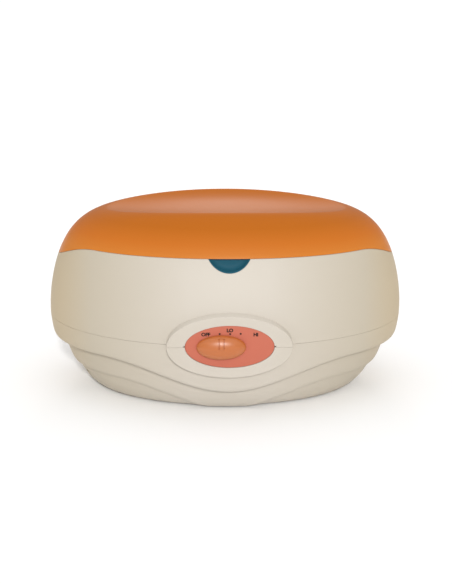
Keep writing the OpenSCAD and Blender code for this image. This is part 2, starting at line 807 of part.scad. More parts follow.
fuse_y = 18;
fuse_d = 4;
fuse_len = 12;
fuse_tail = 8;
fuse_z = pan_under - fuse_d / 2 - 0.1;
fuse_end = fuse_len / 2 + fuse_tail;
module thermal_fuse() {
    color("silver") translate([0, fuse_y, fuse_z]) rotate([0, 90, 0]) {
        cylinder(h = fuse_len, d = fuse_d, center = true);
        cylinder(h = 2 * fuse_end, d = 1, center = true);
    }
}
module fuse_clip() {
    color("goldenrod") difference() {
        translate([-3, fuse_y - fuse_d, pan_under - fuse_d - 1.3])
            cube([6, 2 * fuse_d, fuse_d + 1.3]);
        translate([0, fuse_y, fuse_z]) rotate([0, 90, 0])
            cylinder(h = 8, d = fuse_d + 0.2, center = true);
        translate([-4, fuse_y - fuse_d / 2 + 0.2, fuse_z]) cube([8, fuse_d - 0.4, fuse_d]);
    }
}

ear = 16;
window_w = thermostat_pitch + 36;
window_d = 52;

// The tray hangs from the casing posts and draws the pan down on its gasket
module support_tray() {
    end_x = case_x / 2 - ear / 2 - 2;
    color("silver") difference() {
        union() {
            translate([-end_x, -tray_d / 2, tray_z - tray_t]) cube([2 * end_x, tray_d, tray_t]);
            for (s = [-1, 1]) {
                translate([s * end_x - (s > 0 ? tray_t : 0), -tray_d / 2, tray_z - tray_t])
                    cube([tray_t, tray_d, parting_z - tray_z + tray_t]);
                for (t = [-1, 1])
                    translate([s * (end_x + ear / 2) - ear / 2, (t * case_y - ear) / 2, post_top])
                        cube([ear, ear, tray_t]);
            }
        }
        corners(case_x, case_y) translate([0, 0, post_top - 1])
            cylinder(h = tray_t + 2, d = case_screw_d + 2 * pass_gap);
        corners(stud_x, stud_y) translate([0, 0, tray_z - tray_t - 1])
            cylinder(h = tray_t + 2, d = stud_d + 2 * pass_gap);
        translate([-window_w / 2, -window_d / 2, tray_z - tray_t - 1])
            cube([window_w, window_d, tray_t + 2]);
    }
}

module mains_inlet() {
    color("black") difference() {
        union() {
            translate([-inlet_w / 2, inlet_y - inlet_len, inlet_z - inlet_h / 2])
                cube([inlet_w, inlet_len + eps, inlet_h]);
            translate([0, inlet_y, inlet_z]) rotate([-90, 0, 0]) linear_extrude(inlet_flange_t)
                square([inlet_flange_w, inlet_flange_h], center = true);
        }
        translate([0, inlet_y - socket_depth, inlet_z]) rotate([-90, 0, 0])
            linear_extrude(2 * socket_depth)
                square([inlet_w - 2 * socket_wall, inlet_h - 2 * socket_wall], center = true);
        both_sides(inlet_pitch) translate([0, inlet_y - 1, inlet_z]) rotate([-90, 0, 0])
            cylinder(h = inlet_flange_t + 2, d = small_screw_d + 2 * pass_gap);
        inlet_holes();
    }
}
module inlet_holes() {
    for (site = [[-pin_x, pin_low], [pin_x, pin_low], [0, pin_high]])
        translate([site[0] - 1, pin_back, inlet_z + site[1] - 2])
            cube([2, inlet_len + pin_tail - socket_depth + pin_len, 4]);
}
module inlet_pins() {
    color("gold") inlet_holes();
}

module terminal_block() {
    base = floor_top + block_up;
    color("white") difference() {
        translate([block_x - block_w / 2, block_y - block_d / 2, base])
            cube([block_w, block_d, block_h]);
        for (s = [-1, 1]) translate([block_x + s * block_screw_x, block_y, base - 1])
            cylinder(h = block_h + 2, d = small_screw_d + 2 * pass_gap);
        for (x = way_x) translate([x, block_y - block_d, way_z])
            rotate([-90, 0, 0]) cylinder(h = 2 * block_d, d = 3);
    }
}

// A lead is swept along hand-chosen points, and each bend between them is cut by a short curve
lead_d = 2.4;
lead_sides = 6;
bend = 3;
function unit(v) = v / norm(v);
function softened(p) = concat([p[0]],
    [for (i = [1 : len(p) - 2], t = [0, 0.5, 1])
        let (a = p[i] - bend * unit(p[i] - p[i - 1]), b = p[i] + bend * unit(p[i + 1] - p[i]))
            (1 - t) * (1 - t) * a + 2 * t * (1 - t) * p[i] + t * t * b],
    [p[len(p) - 1]]);
module lead(route) {
    path = softened(route);
    count = len(path);
    points = [for (i = [0 : count - 1])
        let (before = unit(path[max(i, 1)] - path[max(i, 1) - 1]),
             after = unit(path[min(i, count - 2) + 1] - path[min(i, count - 2)]),
             along = unit(before + after),
             side = unit(cross(along, [0.37, 0.24, 0.11])),
             up = cross(along, side))
        for (k = [0 : lead_sides - 1])
            path[i] + lead_d / 2 * (cos(360 * k / lead_sides) * side
                                    + sin(360 * k / lead_sides) * up)];
    faces = concat(
        [for (i = [0 : count - 2], k = [0 : lead_sides - 1], half = [0, 1])
            let (n = (k + 1) % lead_sides, p = i * lead_sides, q = p + lead_sides)
                half == 0 ? [p + k, q + n, p + n] : [p + k, q + k, q + n]],
        [[for (k = [0 : lead_sides - 1]) k]],
        [[for (k = [lead_sides - 1 : -1 : 0]) (count - 1) * lead_sides + k]]);
    polyhedron(points = points, faces = faces);
}
way_x = [for (k = [-1 : 1]) block_x + 7 * k];
way_z = floor_top + block_up + block_h / 2;
lead_out = 8;
lead_z = clamp_under - lead_d / 2 - 1;
module lead_live() {
    color("saddlebrown") lead([[-pin_x, pin_back, inlet_z + pin_low],
        [-pin_x, pin_back - lead_out, inlet_z + pin_low],
        [-pin_x, pin_back - lead_out, way_z + 12], [way_x[0], block_y + block_d + 12, way_z],
        [way_x[0], block_y + 3, way_z]]);
}
module lead_neutral() {
    color("royalblue") lead([[pin_x, pin_back, inlet_z + pin_low],
        [pin_x, pin_back - lead_out, inlet_z + pin_low],
        [pin_x, pin_back - lead_out, way_z + 20], [way_x[1], block_y + 2 * block_d, way_z],
        [way_x[1], block_y + 3, way_z]]);
}
module lead_earth() {
    color("yellowgreen") lead([[0, pin_back, inlet_z + pin_high],
        [0, pin_back - lead_out / 2, inlet_z + pin_high],
        [0, pin_back - 2 * lead_out, inlet_z - 4],
        [stud_x / 2 - 2 * lead_out, stud_y / 2 + 1.5 * lead_out, stud_end - 1.5 * lead_out],
        [stud_x / 2, stud_y / 2, stud_end - 1.5 * lead_out], [stud_x / 2, stud_y / 2, stud_end]]);
}
module lead_switch() {
    x = -1.5 * tag_pitch;
    y = 1.5 * lead_out - switch_tag;
    color("saddlebrown") lead([[way_x[0], block_y - 3, way_z], [way_x[0], way_x[0] / 4, way_z],
        [x, y + 12, boss_z - boss_h * 0.7], [x, y, boss_z - boss_h * 0.4], [x, y, boss_z],
        [x, -switch_tag, boss_z]]);
}
module lead_low() {
    x = blade_x[0] - thermostat_pitch;
    y = lead_out - switch_tag;
    color("black") lead([[-tag_pitch / 2, -switch_tag, boss_z], [-tag_pitch / 2, y, boss_z],
        [-tag_pitch / 2, y, boss_z - boss_h / 2], [x, -2.5 * lead_out, blade_z - 1.5 * lead_out],
        [x, 0, blade_z - 1.5 * lead_out], [x, 0, blade_z]]);
}
module lead_high() {
    x = blade_x[1];
    y = lead_out - switch_tag;
    color("red") lead([[tag_pitch / 2, -switch_tag, boss_z], [tag_pitch / 2, y, boss_z],
        [tag_pitch / 2, y, boss_z - boss_h / 2], [x, -2.5 * lead_out, blade_z - 1.5 * lead_out],
        [x, 0, blade_z - 1.5 * lead_out], [x, 0, blade_z]]);
}
module lead_link() {
    y = blade_w / 2 - lead_d / 2 - 0.2;
    z = blade_z - 0.8 * lead_out;
    color("black") lead([[blade_x[0], y, blade_z], [blade_x[0], y, z], [-blade_x[0], y, z],
        [-blade_x[0], y, blade_z]]);
}
module lead_element() {
    x = cold_pin_x - lead_out;
    y = -2 * lead_out;
    color("black") lead([[-blade_x[0], lead_d / 2 + 0.2 - blade_w / 2, blade_z],
        [-blade_x[0], lead_d / 2 + 0.2 - blade_w / 2, blade_z - lead_out / 2],
        [-blade_x[0], y, blade_z - lead_out / 2], [-blade_x[0] - thermostat_pitch / 2, y, lead_z],
        [-element_len / 2, y, lead_z], [x, -leg_y, lead_z], [x, -leg_y, element_z],
        [cold_pin_x, -leg_y, element_z]]);
}
module lead_fuse() {
    x = cold_pin_x - lead_out;
    color("royalblue") lead([[cold_pin_x, leg_y, element_z], [x, leg_y, element_z],
        [x, leg_y, lead_z], [-0.7 * element_len / 2, fuse_y, lead_z],
        [-fuse_end - 2.5 * lead_out, fuse_y, lead_z], [-fuse_end - 1.5 * lead_out, fuse_y, fuse_z],
        [-fuse_end, fuse_y, fuse_z]]);
}
module lead_return() {
    x = fuse_end + 2 * lead_out;
    color("royalblue") lead([[fuse_end, fuse_y, fuse_z], [x - 0.8 * lead_out, fuse_y, fuse_z],
        [x, fuse_y, lead_z - 1], [x, fuse_y, tray_z - 2 * lead_out],
        [way_x[1], block_y - block_d / 2 - 2 * lead_out, way_z],
        [way_x[1], block_y - 3, way_z]]);
}

// A pan-head screw pointing up from its head's seat
module screw(d, len, head_d, head_h) {
    translate([0, 0, -head_h]) difference() {
        cylinder(h = head_h, d = head_d);
        translate([-head_d / 2, -0.4, -1]) cube([head_d, 0.8, 1 + head_h * 0.4]);
    }
    translate([0, 0, -eps]) cylinder(h = len, d = d);
}
module case_screws() {
    color("silver") corners(case_x, case_y) translate([0, 0, head_seat])
        screw(case_screw_d, parting_z - head_seat + screw_reach, case_head_d, case_head_h);
}
module control_screws() {
    color("silver") for (s = [-1, 1], site = [[plate_post_x, boss_z],
                                                     [shell_post_x, shell_post_z]])
        translate([s * site[0], bracket_t - switch_back, site[1]]) rotate([90, 0, 0])
            screw(small_screw_d, bracket_t + small_bite, small_head_d, small_head_h);
}
module inlet_screws() {
    color("silver") both_sides(inlet_pitch) translate([0, inlet_y + inlet_flange_t, inlet_z])
        rotate([90, 0, 0])
            screw(small_screw_d, inlet_flange_t + small_bite, small_head_d, small_head_h);
}
module block_screws() {
    color("silver") for (s = [-1, 1])
        translate([block_x + s * block_screw_x, block_y, floor_top + block_up + block_h])
            mirror([0, 0, 1])
                screw(small_screw_d, block_h + block_up - 0.5, small_head_d, small_head_h);
}

module feet() {
    color("black") corners(foot_x, foot_y) cylinder(h = floor_z + foot_seat, d = foot_d);
}

place() lid();
place() upper_shell();
place() lower_shell();
place() finger_insert();
place() dial_plate();
place() slider_knob();
place() slider_carriage();
place() switch_lever();
place() slide_switch();
place() detent_spring();
place() switch_bracket();
place() pan();
place() pan_gasket();
place() guard_grille();
place() insulation_wrap();
place() heating_element();
place() clamp_bars();
place() clamp_nuts();
place() thermostat_low();
place() thermostat_high();
place() thermal_fuse();
place() fuse_clip();
place() support_tray();
place() hold_down_nuts();
place() mains_inlet();
place() inlet_pins();
place() terminal_block();
place() lead_live();
place() lead_neutral();
place() lead_earth();
place() lead_switch();
place() lead_low();
place() lead_high();
place() lead_link();
place() lead_element();
place() lead_fuse();
place() lead_return();
place() case_screws();
place() control_screws();
place() inlet_screws();
place() block_screws();
place() feet();
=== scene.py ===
# %% [markdown]
# # A paraffin wax melter
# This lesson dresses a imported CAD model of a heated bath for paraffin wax: an oval cream
# casing with wavy steps, an amber lid and a slide control on the front. The CAD model gives
# every piece its place and size. Blender gives the shells smooth skins, soft edges, finishes
# and light. All lengths below are written in millimetres, and Blender counts in metres.

# %% Load the CAD frame
import json
import math

import bmesh
import bpy
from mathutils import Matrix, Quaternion, Vector


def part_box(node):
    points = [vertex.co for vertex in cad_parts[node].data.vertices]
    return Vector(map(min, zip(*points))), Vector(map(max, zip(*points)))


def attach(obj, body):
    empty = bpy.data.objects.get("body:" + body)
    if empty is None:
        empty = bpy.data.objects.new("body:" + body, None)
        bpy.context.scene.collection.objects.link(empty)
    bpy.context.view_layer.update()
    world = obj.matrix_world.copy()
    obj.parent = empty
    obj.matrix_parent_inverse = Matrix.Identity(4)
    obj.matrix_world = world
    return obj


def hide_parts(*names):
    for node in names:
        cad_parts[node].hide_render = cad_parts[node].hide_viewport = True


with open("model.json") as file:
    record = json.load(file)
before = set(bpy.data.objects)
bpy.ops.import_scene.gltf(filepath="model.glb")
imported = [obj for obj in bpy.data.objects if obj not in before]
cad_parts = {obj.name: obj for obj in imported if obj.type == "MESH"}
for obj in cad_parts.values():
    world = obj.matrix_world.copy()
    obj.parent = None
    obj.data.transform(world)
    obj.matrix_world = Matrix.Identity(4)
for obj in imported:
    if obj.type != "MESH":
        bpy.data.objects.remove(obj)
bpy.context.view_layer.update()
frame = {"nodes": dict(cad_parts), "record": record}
nodes = frame["nodes"]
MM = 0.001

# %% [markdown]
# ## The camera
# The picture was taken from a little above the control and a hair to the left, with the camera
# tipped half a degree. A long lens, about 74 mm on a 36 mm sensor, keeps the ovals flat.
# The numbers come from fitting the outline of the casing.

# %% Camera
MIDDLE_Y = 5.5


def point(x, y, z):
    """A place in millimetres, as a vector in metres."""
    return Vector((x, y, z)) * MM


def add_camera(target, azimuth, elevation, roll, distance, lens):
    """Adds a camera that looks at a target from an angle, all angles in degrees."""
    turn, rise = math.radians(azimuth), math.radians(elevation)
    back = Vector((math.sin(turn) * math.cos(rise), -math.cos(turn) * math.cos(rise),
                   math.sin(rise)))
    aim = back.to_track_quat("Z", "Y") @ Quaternion((0, 0, 1), math.radians(roll))
    bpy.ops.object.camera_add(location=target + back * (distance * MM), rotation=aim.to_euler())
    camera = bpy.context.object
    camera.data.lens = lens
    return camera


camera = add_camera(target=point(0, MIDDLE_Y, 100), azimuth=-2.15, elevation=18.0, roll=0.5,
                    distance=1300, lens=73.5)
camera.data.shift_x, camera.data.shift_y = 0.0006, -0.0006
bpy.context.scene.camera = camera
print("camera at", [round(v, 3) for v in camera.location])

# %% [markdown]
# ## Floor and light
# The object stands on a plain pale floor, so wide that its far edge stays out of view. The
# light is soft and mostly frontal: one soft-edged sun above the camera, a pale surround that
# is brighter overhead than at the horizon, and a faintly warm lamp behind that shows as a sheen
# in the dish of the lid. Colours are shown as they are, with the Standard view, so that the
# white floor stays white.

# %% Floor
def linear(code):
    """Turns an sRGB hex colour into the linear colour that Blender's shaders expect."""
    parts = [int(code[k:k + 2], 16) / 255 for k in (0, 2, 4)]
    return [p / 12.92 if p <= 0.04045 else ((p + 0.055) / 1.055) ** 2.4 for p in parts] + [1.0]


def add_node(tree, kind, settings=None, links=None):
    """Adds a shader node, sets its properties or inputs, and links other sockets to it."""
    node = tree.nodes.new(kind)
    for key, value in (settings or {}).items():
        if isinstance(key, int) or key in node.inputs:
            node.inputs[key].default_value = value
        else:
            setattr(node, key, value)
    for key, socket in (links or {}).items():
        tree.links.new(socket, node.inputs[key])
    return node


def new_material(name, colour, roughness, specular=0.5, metallic=0.0):
    """A material with one Principled BSDF: returns the material, its node tree and shader."""
    material = bpy.data.materials.new(name)
    material.use_nodes = True
    shader = material.node_tree.nodes["Principled BSDF"]
    for key, value in {"Base Color": linear(colour), "Roughness": roughness,
                       "Specular IOR Level": specular, "Metallic": metallic}.items():
        shader.inputs[key].default_value = value
    return material, material.node_tree, shader


FLOOR_SIZE = 60000

bpy.ops.mesh.primitive_plane_add(size=FLOOR_SIZE * MM, location=(0, 0, 0))
floor = bpy.context.object
floor.name = "floor"
# White paper, quite matt: the eye sees no sheen on it, only the soft shadow of the object.
floor.data.materials.append(new_material("white_paper", "FCFCFC", 0.95, 0.0)[0])

# %% Lamps
LIT = point(0, 0, 90)


def add_lamp(kind, place, **settings):
    """A lamp that faces the lit middle of the object."""
    aim = (place - LIT).to_track_quat("Z", "Y").to_euler()
    bpy.ops.object.light_add(type=kind, location=place, rotation=aim)
    lamp = bpy.context.object.data
    for key, value in settings.items():
        setattr(lamp, key, linear(value)[:3] if key == "color" else value)
    return lamp


add_lamp("SUN", point(80, -1500, 915), energy=1.65, angle=math.radians(4.5))
add_lamp("AREA", point(60, 1500, 900), energy=2.3, color="FFF0EA", shape="RECTANGLE",
         size=400 * MM, size_y=600 * MM)

# %% Surround
HORIZON, ZENITH = 0.36, 1.05

world = bpy.data.worlds.new("studio")
world.use_nodes = True
sky = world.node_tree
place = add_node(sky, "ShaderNodeTexCoord")
axes = add_node(sky, "ShaderNodeSeparateXYZ", links={"Vector": place.outputs["Generated"]})
rise = add_node(sky, "ShaderNodeMapRange", {"To Min": HORIZON, "To Max": ZENITH},
                {"Value": axes.outputs["Z"]})
sky.nodes["Background"].inputs["Color"].default_value = linear("FFFFFF")
sky.links.new(rise.outputs["Result"], sky.nodes["Background"].inputs["Strength"])
bpy.context.scene.world = world
bpy.context.scene.view_settings.view_transform = "Standard"

# %% [markdown]
# ## Ways to work in edit mode
# By hand, a piece is made by adding a primitive, selecting a few of its points and dragging
# them. In a script the same operators run, and a small test picks the points instead of the
# mouse. Nothing may stay selected from the step before, because an operator acts on all that is.

# %% Selecting
def choose(*objects):
    """Selects these objects alone, and makes the first of them the active one."""
    for obj in bpy.context.selected_objects:
        obj.select_set(False)
    for obj in objects:
        obj.select_set(True)
    bpy.context.view_layer.objects.active = objects[0]


def edit(obj):
    """Opens one object alone in edit mode, with nothing selected in it."""
    choose(obj)
    bpy.ops.object.mode_set(mode="EDIT")
    bpy.ops.mesh.select_all(action="DESELECT")


def leave_edit():
    """Closes edit mode, with all faces turned outwards."""
    bpy.ops.mesh.select_all(action="SELECT")
    bpy.ops.mesh.normals_make_consistent(inside=False)
    bpy.ops.object.mode_set(mode="OBJECT")


def pick(kind, test):
    """In edit mode, selects only the VERT, EDGE or FACE items that pass the test."""
    bpy.ops.mesh.select_mode(type=kind)
    bpy.ops.mesh.select_all(action="DESELECT")
    data = bpy.context.edit_object.data
    mesh = bmesh.from_edit_mesh(data)
    for item in {"VERT": mesh.verts, "EDGE": mesh.edges, "FACE": mesh.faces}[kind]:
        if test(item):
            item.select_set(True)
    mesh.select_flush_mode()
    bmesh.update_edit_mesh(data)


# %% [markdown]
# ## A shell from rings
# The casing is an oval whose size changes with height, but its seams and steps rise and fall
# round it, so a spin or a plain scale can't give it. It could be a grid pushed about by hand.
# Here one circle is added and extruded ring by ring, and each new ring is scaled about the
# middle of the floor, four mirrored points at a time, until it lies where the form says.

# %% Rings
SIDES = 128
QUARTER = SIDES // 4
TURNS = [math.pi / 2 * k / QUARTER for k in range(QUARTER + 1)]
CENTRE = point(0, MIDDLE_Y, 0)
TINY = 1e-6
# The widest edge radius. A ring's bevel weight is its own radius as a share of this.
SOFTEST = 4.0


def pick_ring(number, turn=None):
    """Selects a ring by its number, or only the four points of it that mirror each other."""
    first = number * SIDES
    chosen = range(SIDES) if turn is None else {
        turn, (SIDES - turn) % SIDES, SIDES // 2 - turn, SIDES // 2 + turn}
    chosen = {first + k for k in chosen}
    pick("VERT", lambda vert: vert.index in chosen)


def reshape_ring(number, old, new):
    """Scales a ring from its old quarter of points to the new one."""
    scales = [tuple(n / o if abs(o) > TINY else 1.0 for n, o in zip(there, here))
              for here, there in zip(old, new)]
    even = all(abs(s - m) < TINY or abs(o) < TINY for scale, here in zip(scales, old)
               for s, m, o in zip(scale, scales[QUARTER // 2], here))
    for turn in [None] if even else range(QUARTER + 1):
        pick_ring(number, turn)
        bpy.ops.transform.resize(value=scales[QUARTER // 2] if even else scales[turn],
                                 center_override=CENTRE)


def tell(*objects):
    """Prints the names of pieces, with how many faces they have."""
    print("; ".join(f"{obj.name}: {len(obj.data.polygons)} faces" for obj in objects))


def loft(name, rings, capped=True, rounded=None):
    """Extrudes a circle along quarter rings of (x, y, z). It is capped at both ends, or else
    its last ring joins its first. Rings in rounded get an edge radius in millimetres."""
    radius, height = rings[0][-1][0], rings[0][0][2]
    bpy.ops.mesh.primitive_circle_add(vertices=SIDES, radius=radius * MM,
                                      fill_type="NGON" if capped else "NOTHING",
                                      location=point(0, MIDDLE_Y, height))
    obj = bpy.context.object
    obj.name = name
    bpy.ops.object.transform_apply(location=True, rotation=False, scale=False)
    edit(obj)
    before = [(radius * math.sin(t), radius * math.cos(t), height) for t in TURNS]
    for number, ring in enumerate(rings):
        if number:
            pick_ring(number - 1)
            bpy.ops.mesh.extrude_edges_move(TRANSFORM_OT_translate={"value": (0, 0, 0)})
        reshape_ring(number, before, ring)
        before = ring
    last = len(rings) - 1
    for number, width in (rounded or {}).items():
        pick_ring(number)
        bpy.ops.transform.edge_bevelweight(value=width / SOFTEST)
    if capped:
        pick_ring(last)
        bpy.ops.mesh.edge_face_add()
    else:
        ends = {*range(SIDES), *range(last * SIDES, (last + 1) * SIDES)}
        pick("VERT", lambda vert: vert.index in ends)
        bpy.ops.mesh.bridge_edge_loops()
    leave_edit()
    if rounded:
        apply_modifier(obj, "BEVEL", width=SOFTEST * MM, limit_method="WEIGHT", segments=4)
    smooth(obj)
    tell(obj)
    return obj


def apply_modifier(obj, kind, **settings):
    """Adds a modifier with its settings and applies it at once."""
    choose(obj)
    bpy.ops.object.modifier_add(type=kind)
    modifier = obj.modifiers[-1]
    for key, value in settings.items():
        setattr(modifier, key, value)
    bpy.ops.object.modifier_apply(modifier=modifier.name)


def smooth(obj, angle=32):
    """Smooth shading, except across edges sharper than the angle."""
    choose(obj)
    bpy.ops.object.shade_smooth_by_angle(angle=math.radians(angle))


# %% [markdown]
# ## The casing's form
# Seen from the front and from the side, the body follows rounded curves: full below the lid,
# widest just above the seam of the casing, and drawn in towards the table. The same few
# formulas as in the CAD source give the half width and half depth at each height, and the
# pieces that share the form then meet without gaps.

# %% Form
BODY_W, BODY_D, BASE_W = 380, 240, 306
CREST_W, CREST_D, CREST_Z, CREST_SAG, SAG_FADE = 255, 106, 202.5, 7.5, 5
WIDEST_Z, FLOOR_Z, PARTING_Z = 85, 2, 81
SIDE_CURVE, FRONT_CURVE, LOWER_CURVE = 1.9, 1.6, 1.65
RIM_Z, RIM_DIP_W, RIM_DIP_R = 164.5, 53, 56
WALL = 2.6


def mix(a, b, t):
    return a + (b - a) * t


def bulge(t, power):
    return max(0.0, 1 - t ** power) ** (1 / power)


def above(z):
    return min(1.0, max(0.0, (z - WIDEST_Z) / (CREST_Z - WIDEST_Z)))


def half_width(z):
    if z > WIDEST_Z:
        return mix(CREST_W, BODY_W, bulge(above(z), SIDE_CURVE)) / 2
    return mix(BASE_W, BODY_W, bulge((WIDEST_Z - z) / (WIDEST_Z - FLOOR_Z), LOWER_CURVE)) / 2


def half_depth(z):
    if z > WIDEST_Z:
        return mix(CREST_D, BODY_D, bulge(above(z), FRONT_CURVE)) / 2
    return half_width(z) * BODY_D / BODY_W


def crest_drop(x, z):
    """How much lower the form lies towards the ends of the crest."""
    return CREST_SAG * (2 * x / CREST_W) ** 2 * above(z) ** SAG_FADE


def at(value, turn):
    """A number as it is, or what a function gives for the turn."""
    return value(turn) if callable(value) else value


def ring(height, inset=0.0, look=0.0):
    """A quarter ring on the form. Height and inset are numbers or functions of the turn."""
    made = []
    for turn in TURNS:
        z, back = at(height, turn), at(inset, turn)
        x = (half_width(z + look) - back) * math.sin(turn)
        y = (half_depth(z + look) - back) * math.cos(turn)
        made.append((x, y, z - crest_drop(x, z)))
    return made


def rim_dip(x):
    return RIM_DIP_R - math.sqrt(RIM_DIP_R ** 2 - max(0.0, x - BODY_W / 2 + RIM_DIP_W) ** 2)


def rim(turn):
    """Height of the casing's rim, which dips at both ends."""
    near = RIM_Z - rim_dip(half_width(RIM_Z) * math.sin(turn))
    return RIM_Z - rim_dip(half_width(near) * math.sin(turn))


print("half depth at the rim:", round(half_depth(RIM_Z), 1), "mm")

# %% [markdown]
# ## The lid
# The lid is one moulding: a shallow dish inside a soft ridge, a skirt that carries on the
# line of the casing, and a lip underneath that keeps it from sliding off. The rings run from
# the middle of the dish over the ridge, down the outside, round the lip and back up inside.

# %% Lid
DISH_DEPTH, LID_WALL, LID_GAP = 8, 2.5, 0.3
DISH_SHARES = (0.1, 0.25, 0.4, 0.55, 0.68, 0.79, 0.88, 0.94)
SKIRT_STEPS, SKIRT_POWER = 22, 0.88
LIP_H, LIP_W, LIP_GAP, LIP_ROOT = 3, 2, 0.6, 2
RIDGE_SOFT, EDGE_SOFT, LIP_SOFT = 3.0, 0.35, 0.5
LIFT_R, LIFT_UP, LIFT_DEPTH, LIFT_WALL, LIFT_GAP = 23.8, 10.9, 7, 1.8, 0.2


def dish_ring(reach, lower=0.0):
    """A ring in the dish of the lid, at a share of the way out to the ridge."""
    made = []
    for turn in TURNS:
        x, y = CREST_W / 2 * reach * math.sin(turn), CREST_D / 2 * reach * math.cos(turn)
        sunk = DISH_DEPTH * (1 - reach ** 3) + lower
        made.append((x, y, CREST_Z - crest_drop(x, CREST_Z) - sunk))
    return made


def skirt_share(step):
    """Heights between the rim (0) and the ridge (1), closer together near the ridge."""
    low = above(RIM_Z)
    turn = mix(math.asin(low ** SKIRT_POWER), math.pi / 2, step / SKIRT_STEPS)
    return (math.sin(turn) ** (1 / SKIRT_POWER) - low) / (1 - low)


def lid_ring(share, inset=0.0, lower=0.0):
    """A ring between the skirt's edge (0) and the ridge (1), inset and then lowered."""
    placed = ring(lambda turn: mix(rim(turn) + LID_GAP, CREST_Z, share), inset)
    return [(x, y, z - lower) for x, y, z in placed]


lip_out = WALL + LIP_GAP
lid_rings = [dish_ring(reach) for reach in DISH_SHARES]
ridge = len(lid_rings)
lid_rings += [lid_ring(skirt_share(step)) for step in range(SKIRT_STEPS, -1, -1)]
edge = len(lid_rings) - 1
lid_rings += [
    ring(lambda turn: rim(turn) + LID_GAP, lip_out),
    ring(lambda turn: rim(turn) - LIP_H, lip_out, LIP_H),
    ring(lambda turn: rim(turn) - LIP_H, lip_out + LIP_W, LIP_H),
    ring(lambda turn: rim(turn) + LIP_ROOT, lip_out + LIP_W)]
lid_rings += [lid_ring(share, LID_WALL, LID_WALL * share)
              for share in (0.18, 0.38, 0.58, 0.75, 0.87, 0.95)]
lid_rings += [dish_ring(reach, LID_WALL) for reach in (0.94, 0.82, 0.6, 0.3)]
lid = loft("lid_cover", lid_rings, rounded={ridge: RIDGE_SOFT, edge: EDGE_SOFT,
                                            edge + 2: LIP_SOFT, edge + 3: LIP_SOFT})

# %% [markdown]
# ## Cutting and joining
# Openings are cut with the Boolean modifier, as by hand: a block of the right size is placed
# where the opening goes, the modifier takes it away, and the block is thrown out. A block
# reaches a millimetre past what it cuts, so that no skin is left over the opening.

# %% Blocks and rods
OVERLAP = 1


def add_block(low, high):
    """A box between two corners in millimetres."""
    size = [b - a for a, b in zip(low, high)]
    middle = [(a + b) / 2 for a, b in zip(low, high)]
    bpy.ops.mesh.primitive_cube_add(size=1, location=point(*middle), scale=point(*size))
    bpy.ops.object.transform_apply(location=True, rotation=False, scale=True)
    return bpy.context.object


def add_rod(radius, start, length, axis="Z", vertices=64):
    """A round rod from a starting point along an axis."""
    turns = {"X": (0, math.pi / 2, 0), "Y": (-math.pi / 2, 0, 0), "Z": (0, 0, 0)}
    step = {"X": (1, 0, 0), "Y": (0, 1, 0), "Z": (0, 0, 1)}[axis]
    middle = [s + length / 2 * a for s, a in zip(start, step)]
    bpy.ops.mesh.primitive_cylinder_add(vertices=vertices, radius=radius * MM,
                                        depth=length * MM, location=point(*middle),
                                        rotation=turns[axis])
    bpy.ops.object.transform_apply(location=True, rotation=True, scale=False)
    return bpy.context.object


def join(pieces):
    """Makes one object of several."""
    choose(*pieces)
    bpy.ops.object.join()
    return pieces[0]


def combine(target, tools, operation="DIFFERENCE"):
    """Cuts tools from a target, or joins them to the target, and throws the tools away."""
    tool = join(tools) if isinstance(tools, list) else tools
    apply_modifier(target, "BOOLEAN", operation=operation, object=tool, solver="EXACT")
    bpy.data.objects.remove(tool)


lip_notch = LIFT_R + LIP_W
combine(lid, add_block((-lip_notch, -BODY_D, RIM_Z - 2 * LIP_H),
                       (lip_notch, MIDDLE_Y - half_depth(RIM_Z) + lip_out + 2 * LIP_W,
                        RIM_Z + LID_GAP)))
smooth(lid)

# %% [markdown]
# ## The upper casing
# The upper casing is a wide oval band with a ledge inside that carries the pan. Its rim has a
# softened edge, so a fine line of light shows along the seam with the lid. Its lower edge is
# stepped back a little, and so is the edge that it meets: together they leave the fine groove
# of the parting line.

# %% Upper casing
PAN_W, PAN_D, PAN_SQUARE = 270, 146, 2.4
LEDGE_Z, LEDGE_IN, LEDGE_OUT, WEB_DROP = 160, 3.7, 14, 7
GROOVE_H, GROOVE_DEEP = 0.12, 0.6
BAND_STEPS = 10
LEDGE_SOFT, RIM_SOFT_IN, RIM_SOFT = 0.8, 0.5, 0.45


def oval(half_x, half_y, z, power=2.0):
    """A level quarter ring of given half sizes, squarer than an ellipse for a higher power."""
    made = []
    for turn in TURNS:
        s, c = math.sin(turn), math.cos(turn)
        k = (abs(s) ** power + abs(c) ** power) ** (-1 / power)
        made.append((half_x * k * s, half_y * k * c, z))
    return made


def ledge_ring(grow, z):
    return oval(PAN_W / 2 + grow, PAN_D / 2 + grow, z, PAN_SQUARE)


def rings_between(start, end, shares, inset=0.0):
    """Rings at some shares of the way from one height to another."""
    return [ring(lambda turn, t=t: mix(at(start, turn), at(end, turn), t), inset)
            for t in shares]


def upper_ring(share, inset=0.0, top=0.0):
    """A ring between the parting line (0) and the rim (1), which may be lowered."""
    return ring(lambda turn: mix(PARTING_Z, rim(turn) - top, share), inset)


